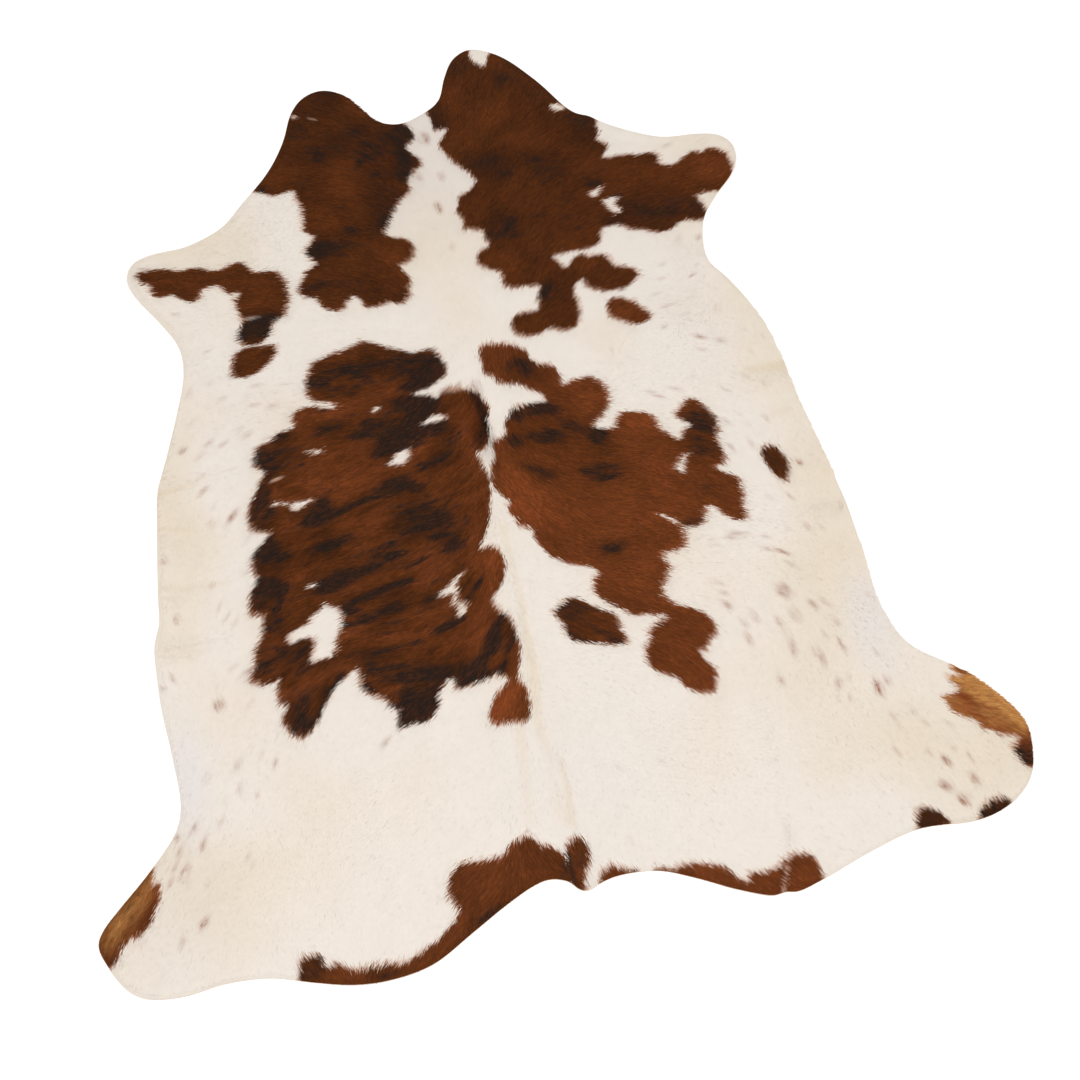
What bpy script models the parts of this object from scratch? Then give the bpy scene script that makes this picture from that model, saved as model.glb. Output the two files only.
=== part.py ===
"""Cowhide rug: one whole hide laid flat on a floor, hair side up.

Metres, +Z up. The neck points to +Y, the rump to -Y, and the hide's right side is +X.
The origin is on the floor, under the middle of the hide's box.
The hide is one closed sheet, skin and lying coat together: its underside is flat on the
floor, and rises only under the folds and where the rim lifts.
"""

import math
from collections import namedtuple

import bmesh
import bpy
from mathutils import Vector, geometry, kdtree

CM = 0.01
MM = 0.001

# Driving dimensions.
HIDE_LENGTH = 2.30             # right neck flap to the lowest point of the rump
HIDE_WIDTH = 1.90              # hind shank to hind shank
SKIN_THICKNESS = 2.5 * MM      # tanned skin
BACK_COAT_DEPTH = 3.5 * MM     # lying hair on the back
BELLY_COAT_DEPTH = 2.2 * MM    # lying hair at the flanks
BELLY_REACH = 0.65             # from the spine out to the belly
RIM_COAT_DEPTH = 1.2 * MM      # hair combed down over the cut edge
RIM_ROLL = 2.5 * CM            # how far in from the edge the coat reaches its full depth
RIM_BEVEL = 4.0 * MM           # the edge's slope from the rim line in to either face
RIM_EDGE_SHARE = 0.4           # height of the rim line, as a share of the edge's thickness

RIM_STEP = 2.0 * CM            # spacing of the points round the rim
SKIN_STEP = 4.6 * CM           # spacing of the points over the hide
FOLD_STEP = 3.0 * CM           # spacing of the points along a fold
FOLD_GAP = 0.75 * CM           # no two points on the folds are nearer than this
SKIN_GAP = 2.8 * CM            # nor any over the hide to one kept before it
RIM_GAP = 1.0 * CM             # nor any to the rim
SAME_POINT = 1e-7              # points nearer than this are one point
INSIDE_LOOP = 1                # the triangulation keeps only what lies inside the loop
SMOOTH_UP_TO = math.radians(40)
SPINE_ACROSS = -1.5            # the spine's place, in centimetres across

# Landmarks round the rim, anticlockwise from the neck: (across, along) in centimetres
# from the middle of the hide, across to its right and along towards the neck.
RIM = {
    "neck notch": ((-3.0, 94.3), (-8.5, 96.6)),
    "left neck flap": ((-12.5, 102.8), (-16.5, 107.7), (-21.2, 109.4), (-26.2, 107.6),
                       (-29.6, 103.4), (-33.0, 94.5)),
    "left shoulder": ((-38.0, 85.8), (-46.0, 76.8), (-51.2, 71.2), (-60.0, 67.3)),
    "left foreleg": ((-69.0, 66.2), (-73.5, 64.1), (-75.2, 59.8), (-73.8, 55.0), (-68.5, 45.5)),
    "left armpit": ((-65.2, 38.3), (-64.8, 31.0)),
    "left flank": ((-67.5, 20.5), (-72.5, 5.0), (-74.0, 0.3), (-75.1, -10.0), (-76.4, -25.0),
                   (-76.8, -31.0), (-78.2, -36.2), (-78.3, -48.0), (-77.0, -62.0), (-76.6, -72.0)),
    "left hind leg": ((-78.0, -76.5), (-83.5, -83.0), (-90.5, -89.8), (-93.5, -93.0),
                      (-94.7, -95.5), (-93.8, -98.7), (-90.0, -105.1), (-86.8, -107.3),
                      (-80.0, -108.4), (-72.0, -107.8)),
    "left rump": ((-63.5, -108.6), (-56.0, -111.1), (-48.0, -113.4), (-41.0, -114.0),
                  (-33.0, -112.9), (-24.0, -108.5), (-16.0, -104.5), (-10.0, -102.2),
                  (-7.2, -102.0), (-3.8, -103.5)),
    "tail root": ((-3.1, -104.8), (-1.1, -105.8), (1.5, -104.9), (4.7, -104.2)),
    "right rump": ((13.0, -104.8), (20.0, -107.8), (28.0, -112.1), (34.5, -114.6), (36.3, -114.2),
                   (38.5, -114.8), (45.0, -113.4), (55.0, -110.4), (65.0, -108.2)),
    "right hind leg": ((70.0, -108.3), (76.5, -109.0), (82.0, -108.5), (87.5, -106.3),
                       (92.0, -102.1), (94.0, -96.5), (94.5, -93.0), (93.5, -89.0),
                       (88.5, -81.0), (84.0, -76.2), (78.0, -71.1), (75.3, -66.3)),
    "right flank": ((73.8, -59.0), (74.2, -50.0), (74.6, -40.0), (74.0, -27.0), (72.5, -11.0),
                    (71.7, 4.0), (71.0, 12.5), (69.4, 20.0), (65.6, 29.8)),
    "right armpit": ((62.8, 34.5), (62.3, 37.5), (63.2, 43.3), (65.3, 48.8)),
    "right foreleg": ((69.8, 54.5), (75.5, 60.2), (77.9, 65.0), (77.8, 69.5), (75.2, 72.8),
                      (69.5, 74.6), (61.5, 75.6)),
    "right shoulder": ((54.0, 79.3), (47.0, 84.3), (45.0, 86.4), (42.2, 87.8), (40.0, 90.3),
                       (34.5, 100.8)),
    "right neck flap": ((28.2, 109.8), (23.5, 113.4), (19.0, 114.9), (14.5, 112.7), (11.2, 107.2),
                        (8.5, 100.3)),
    "neck notch, right": ((6.4, 98.1), (3.7, 96.5)),
}

# Folds that lift the skin off the floor. Ends, sideways bow and half width are in
# centimetres, and the rise at either end in millimetres.
Fold = namedtuple("Fold", "name start end bow half_width rise_at_start rise_at_end")
FOLDS = (
    Fold("back ridge", (-1.0, -12.0), (-1.6, -66.0), 0.5, 4.2, 0.0, 2.6),
    Fold("back ridge, low", (-1.6, -66.0), (-2.2, -96.0), -0.6, 4.0, 2.6, 2.0),
    Fold("side ridge by the tail", (-5.4, -68.0), (-8.2, -92.0), 0.8, 2.6, 0.0, 1.8),
    Fold("tail pleat, crest", (-2.5, -92.0), (-2.4, -108.0), 0.3, 1.5, 0.0, 6.5),
    Fold("tail pleat, back", (-0.8, -90.0), (-0.4, -108.0), 0.0, 3.2, 0.0, 5.0),
    Fold("left shoulder fold", (-79.0, 2.5), (-46.0, 0.0), 1.2, 5.0, 4.6, 0.0),
    Fold("left waist fold", (-82.0, -37.0), (-50.0, -33.5), -1.0, 5.2, 6.0, 0.0),
    Fold("left small fold", (-80.0, -25.5), (-64.0, -24.0), 0.4, 3.4, 3.4, 0.0),
    Fold("right shoulder fold", (77.0, 3.5), (48.0, 1.0), 1.0, 5.0, 4.0, 0.0),
    Fold("right waist fold", (79.0, -35.5), (52.0, -33.0), -0.8, 4.8, 5.0, 0.0),
    Fold("right long fold", (45.0, -46.0), (41.0, -84.0), -0.6, 4.6, 0.0, 2.8),
    Fold("right long fold, low", (41.0, -84.0), (38.6, -108.0), 0.3, 4.2, 2.8, 1.6),
    Fold("left long fold", (-41.5, -62.0), (-39.0, -106.0), 1.2, 4.6, 0.0, 2.4),
)

# Creases pressed into the coat, and the ridge it stands up in at the crown, in the same columns.
CREASES = (
    Fold("rump crease", (39.8, -104.0), (36.3, -115.0), 0.3, 1.6, 0.0, -2.2),
    Fold("neck parting", (2.0, 92.0), (0.0, 34.0), -0.8, 3.2, -0.9, 0.0),
    Fold("crown ridge, upper", (0.8, 15.0), (0.2, 4.0), 0.3, 3.4, 0.0, 3.2),
    Fold("crown ridge, lower", (0.2, 4.0), (-1.0, -11.0), 0.0, 3.2, 3.2, 0.0),
)

# Where the rim lifts off the floor: place and radius in centimetres, rise in millimetres.
Lift = namedtuple("Lift", "name across along radius rise")
LIFTS = (
    Lift("left neck flap", -24.0, 112.0, 17.0, 6.0),
    Lift("right neck flap", 21.0, 118.0, 18.0, 7.0),
    Lift("left foreleg", -79.0, 62.0, 19.0, 11.0),
    Lift("right foreleg", 82.0, 69.0, 19.0, 9.0),
    Lift("left armpit", -64.0, 33.0, 11.0, 4.0),
    Lift("right armpit", 61.0, 38.0, 11.0, 5.0),
    Lift("left flank", -80.0, -14.0, 12.0, 4.0),
    Lift("left flank, low", -81.0, -54.0, 15.0, 6.0),
    Lift("right flank", 78.0, -18.0, 14.0, 5.0),
    Lift("right waist", 77.0, -58.0, 13.0, 5.0),
    Lift("left hind leg", -99.0, -99.0, 24.0, 12.0),
    Lift("right hind leg", 99.0, -97.0, 24.0, 10.0),
    Lift("left rump", -43.0, -118.0, 16.0, 5.0),
    Lift("right rump", 30.0, -117.0, 14.0, 4.0),
)

CREAM = (0.85, 0.79, 0.70, 1.0)


def clear_scene():
    for old in list(bpy.data.objects):
        bpy.data.objects.remove(old)


def smooth_closed_curve(points, step):
    """Centripetal Catmull-Rom curve through the points, sampled about every step."""
    curve = []
    count = len(points)
    for i in range(count):
        p0, p1, p2, p3 = (points[(i + k) % count] for k in (-1, 0, 1, 2))
        t1 = math.sqrt((p1 - p0).length)
        t2 = t1 + math.sqrt((p2 - p1).length)
        t3 = t2 + math.sqrt((p3 - p2).length)
        samples = max(2, round((p2 - p1).length / step))
        for s in range(samples):
            t = t1 + (t2 - t1) * s / samples
            a1 = p0.lerp(p1, t / t1)
            a2 = p1.lerp(p2, (t - t1) / (t2 - t1))
            a3 = p2.lerp(p3, (t - t2) / (t3 - t2))
            b1 = a1.lerp(a2, t / t2)
            b2 = a2.lerp(a3, (t - t1) / (t3 - t1))
            curve.append(b1.lerp(b2, (t - t1) / (t2 - t1)))
    return curve


def evenly_spaced(curve, step):
    """The closed curve walked in equal steps of about the given length."""
    lengths = [(b - a).length for a, b in zip(curve, curve[1:] + curve[:1])]
    total = sum(lengths)
    count = round(total / step)
    points, passed, i = [], 0.0, 0
    for k in range(count):
        target = total * k / count
        while passed + lengths[i] < target:
            passed += lengths[i]
            i += 1
        a, b = curve[i], curve[(i + 1) % len(curve)]
        points.append(a.lerp(b, (target - passed) / lengths[i]))
    return points


def rim_line():
    """The hide's outline on the floor, centred and at its driving length and width."""
    landmarks = [Vector(p) * CM for stretch in RIM.values() for p in stretch]
    fine = smooth_closed_curve(landmarks, RIM_STEP / 4)
    low = Vector((min(p.x for p in fine), min(p.y for p in fine)))
    high = Vector((max(p.x for p in fine), max(p.y for p in fine)))
    middle, size = (low + high) / 2, high - low
    grow_x, grow_y = HIDE_WIDTH / size.x, HIDE_LENGTH / size.y
    fitted = [Vector(((p.x - middle.x) * grow_x, (p.y - middle.y) * grow_y)) for p in fine]
    return evenly_spaced(fitted, RIM_STEP)


def moved_in(loop, distance):
    """The anticlockwise loop, moved to its left by the distance."""
    moved = []
    for before, here, after in zip(loop[-1:] + loop[:-1], loop, loop[1:] + loop[:1]):
        along = (after - before).normalized()
        moved.append(here + Vector((-along.y, along.x)) * distance)
    return moved


def swell(distance, reach):
    """1 in the middle, falling smoothly to 0 at the reach and beyond."""
    if distance >= reach:
        return 0.0
    return 0.5 + 0.5 * math.cos(math.pi * distance / reach)


def fold_line(fold, share):
    """The point at that share of the fold's bowed centre line."""
    start, end = Vector(fold.start) * CM, Vector(fold.end) * CM
    along = (end - start).normalized()
    bow = fold.bow * CM * 4 * share * (1 - share)
    return start.lerp(end, share) + Vector((-along.y, along.x)) * bow


def fold_height(point, fold):
    start, end = Vector(fold.start) * CM, Vector(fold.end) * CM
    line = end - start
    share = min(1.0, max(0.0, (point - start).dot(line) / line.length_squared))
    grown = share * share * (3 - 2 * share)
    rise = fold.rise_at_start + (fold.rise_at_end - fold.rise_at_start) * grown
    return rise * MM * swell((point - fold_line(fold, share)).length, fold.half_width * CM)


def underside(point):
    """Height of the skin's underside over the floor."""
    folds = [fold_height(point, fold) for fold in FOLDS]
    lifts = [lift.rise * MM * swell((point - Vector((lift.across, lift.along)) * CM).length,
                                    lift.radius * CM) for lift in LIFTS]
    return max(folds + lifts)


def thickness(point, from_rim):
    """Skin and coat together: deepest on the back, thin at the rim and in the creases."""
    outwards = min(1.0, abs(point.x - SPINE_ACROSS * CM) / BELLY_REACH)
    coat = BACK_COAT_DEPTH + (BELLY_COAT_DEPTH - BACK_COAT_DEPTH) * outwards ** 2
    inwards = min(1.0, from_rim / RIM_ROLL)
    coat = RIM_COAT_DEPTH + (coat - RIM_COAT_DEPTH) * inwards * (2 - inwards)
    coat += sum(fold_height(point, crease) for crease in CREASES)
    return SKIN_THICKNESS + max(0.0, coat)


def points_over_hide():
    """Rows of points along every fold and crease, and a triangular lattice over the box."""
    points = []
    row_step = SKIN_STEP * math.sqrt(3) / 2
    rows, columns = int(HIDE_LENGTH / row_step), int(HIDE_WIDTH / SKIN_STEP)
    for row in range(rows + 1):
        shift = SKIN_STEP / 2 * (row % 2)
        for column in range(columns + 1):
            points.append(Vector((column * SKIN_STEP + shift - HIDE_WIDTH / 2,
                                  row * row_step - HIDE_LENGTH / 2)))
    fold_points = []
    for fold in FOLDS + CREASES:
        length = (Vector(fold.end) - Vector(fold.start)).length * CM
        steps = max(2, round(length / FOLD_STEP))
        along = (Vector(fold.end) - Vector(fold.start)).normalized()
        across = Vector((-along.y, along.x)) * fold.half_width * CM
        for side in (0.0, -0.5, 0.5, -1.0, 1.0):
            for s in range(steps + 1):
                fold_points.append(fold_line(fold, s / steps) + across * side)
    return fold_points, points


def spread_out(fold_points, lattice, rim_tree):
    """The points that lie in from the rim, and not too near to one kept before them."""
    kept = []
    for group, gap in ((fold_points, FOLD_GAP), (lattice, SKIN_GAP)):
        for point in group:
            near_rim = rim_tree.find(point.to_3d())[2] < max(gap, RIM_GAP)
            if not near_rim and all((point - other).length > gap for other in kept):
                kept.append(point)
    return kept


def build_hide():
    rim = rim_line()
    inner = moved_in(rim, RIM_BEVEL)
    rim_tree = kdtree.KDTree(len(rim))
    for i, point in enumerate(rim):
        rim_tree.insert(point.to_3d(), i)
    rim_tree.balance()

    inside = spread_out(*points_over_hide(), rim_tree)
    loop = list(range(len(inner)))
    flat, _, triangles, origins, _, _ = geometry.delaunay_2d_cdt(
        inner + inside, [], [loop], INSIDE_LOOP, SAME_POINT)
    place_of = {origin[0]: i for i, origin in enumerate(origins) if origin}

    mesh = bmesh.new()
    top, bottom = [], []
    for point in flat:
        base = underside(point)
        from_rim = rim_tree.find(point.to_3d())[2] - RIM_BEVEL
        deep = thickness(point, max(0.0, from_rim))
        top.append(mesh.verts.new((point.x, point.y, base + deep)))
        bottom.append(mesh.verts.new((point.x, point.y, base)))
    for triangle in triangles:
        mesh.faces.new([top[i] for i in triangle])
        mesh.faces.new([bottom[i] for i in reversed(triangle)])

    edge_height = RIM_EDGE_SHARE * (SKIN_THICKNESS + RIM_COAT_DEPTH)
    edge = [mesh.verts.new((p.x, p.y, underside(p) + edge_height)) for p in rim]
    for i in loop:
        j = (i + 1) % len(loop)
        a, b = place_of[i], place_of[j]
        mesh.faces.new((edge[i], edge[j], top[b], top[a]))
        mesh.faces.new((bottom[a], bottom[b], edge[j], edge[i]))
    loose = [vertex for vertex in mesh.verts if not vertex.link_faces]
    bmesh.ops.delete(mesh, geom=loose, context="VERTS")
    bmesh.ops.triangulate(mesh, faces=mesh.faces)
    bmesh.ops.recalc_face_normals(mesh, faces=mesh.faces)

    data = bpy.data.meshes.new("hide")
    mesh.to_mesh(data)
    mesh.free()
    data.shade_smooth()
    data.set_sharp_from_angle(angle=SMOOTH_UP_TO)
    hide = bpy.data.objects.new("hide", data)
    bpy.context.scene.collection.objects.link(hide)
    return hide


def coat_material():
    material = bpy.data.materials.new("coat")
    material.use_nodes = True
    shader = material.node_tree.nodes["Principled BSDF"]
    shader.inputs["Base Color"].default_value = CREAM
    shader.inputs["Roughness"].default_value = 0.75
    shader.inputs["Metallic"].default_value = 0.0
    material.diffuse_color = CREAM
    return material


def main():
    clear_scene()
    hide = build_hide()
    hide.data.materials.append(coat_material())


main()
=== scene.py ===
import math
import time

import bpy
import numpy as np
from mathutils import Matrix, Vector
from mathutils.bvhtree import BVHTree
from mathutils.geometry import delaunay_2d_cdt


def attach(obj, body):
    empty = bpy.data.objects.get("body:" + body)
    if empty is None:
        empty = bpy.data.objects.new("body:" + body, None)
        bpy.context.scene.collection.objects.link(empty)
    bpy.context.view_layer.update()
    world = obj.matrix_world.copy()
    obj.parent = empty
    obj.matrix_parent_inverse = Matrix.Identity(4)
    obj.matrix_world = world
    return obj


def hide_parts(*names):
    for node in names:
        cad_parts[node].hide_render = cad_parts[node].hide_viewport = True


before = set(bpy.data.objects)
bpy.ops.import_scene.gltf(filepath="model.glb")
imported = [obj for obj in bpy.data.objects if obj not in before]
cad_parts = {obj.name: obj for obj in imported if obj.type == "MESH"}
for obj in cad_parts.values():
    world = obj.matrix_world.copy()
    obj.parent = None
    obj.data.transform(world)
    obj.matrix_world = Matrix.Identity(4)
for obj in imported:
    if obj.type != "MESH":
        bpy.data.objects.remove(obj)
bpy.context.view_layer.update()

startedAt = time.perf_counter()
scene = bpy.context.scene
scene.view_settings.view_transform = "Standard"


def report(stage):
    print(f"{stage}: {time.perf_counter() - startedAt:.1f} s")


# Wraps a socket, so that sums on sockets read as sums and add their own Math nodes.
class Term:
    def __init__(self, owner, socket):
        self.owner, self.socket = owner, socket

    def maths(self, kind, first, second):
        return self.owner.node("ShaderNodeMath", {"operation": kind}, {0: first, 1: second})

    def __add__(self, other):
        return self.maths("ADD", self, other)

    def __radd__(self, other):
        return self.maths("ADD", other, self)

    def __sub__(self, other):
        return self.maths("SUBTRACT", self, other)

    def __rsub__(self, other):
        return self.maths("SUBTRACT", other, self)

    def __mul__(self, other):
        return self.maths("MULTIPLY", self, other)

    def __rmul__(self, other):
        return self.maths("MULTIPLY", other, self)


# Builds nodes in one tree: settings are set first, then the sockets get their values or links.
class Nodes:
    def __init__(self, tree):
        self.tree = tree
        tree.nodes.clear()

    def node(self, kind, settings=(), inputs=(), output=0):
        made = self.tree.nodes.new(kind)
        for name, value in dict(settings).items():
            if name == "stops":
                ramp = made.color_ramp
                while len(ramp.elements) < len(value):
                    ramp.elements.new(0.5)
                for element, (place, colour) in zip(ramp.elements, value):
                    element.position, element.color = place, colour
            else:
                setattr(made, name, value)
        for name, value in dict(inputs).items():
            if isinstance(value, Term):
                self.tree.links.new(value.socket, made.inputs[name])
            else:
                made.inputs[name].default_value = value
        return Term(self, made.outputs[output]) if len(made.outputs) else made

    def attribute(self, name):
        return self.node("ShaderNodeAttribute", {"attribute_name": name}, (), "Fac")

    def blend(self, factor, first, second, kind="MIX"):
        settings = {"data_type": "RGBA", "blend_type": kind}
        return self.node("ShaderNodeMix", settings, {0: factor, 6: first, 7: second}, 2)

    def scaled(self, colour, factor):
        settings = {"operation": "SCALE"}
        return self.node("ShaderNodeVectorMath", settings, {0: colour, "Scale": factor})


def newMaterial(name):
    material = bpy.data.materials.new(name)
    material.use_nodes = True
    return material, Nodes(material.node_tree)


def colour(red, green, blue):  # screen values, 0 to 255, to the linear values of a socket
    def linear(value):
        value /= 255
        return value / 12.92 if value <= 0.04045 else ((value + 0.055) / 1.055) ** 2.4

    return (linear(red), linear(green), linear(blue), 1.0)


# The chart of the coat is in centimetres: across to the rug's right, along towards the neck.

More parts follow.
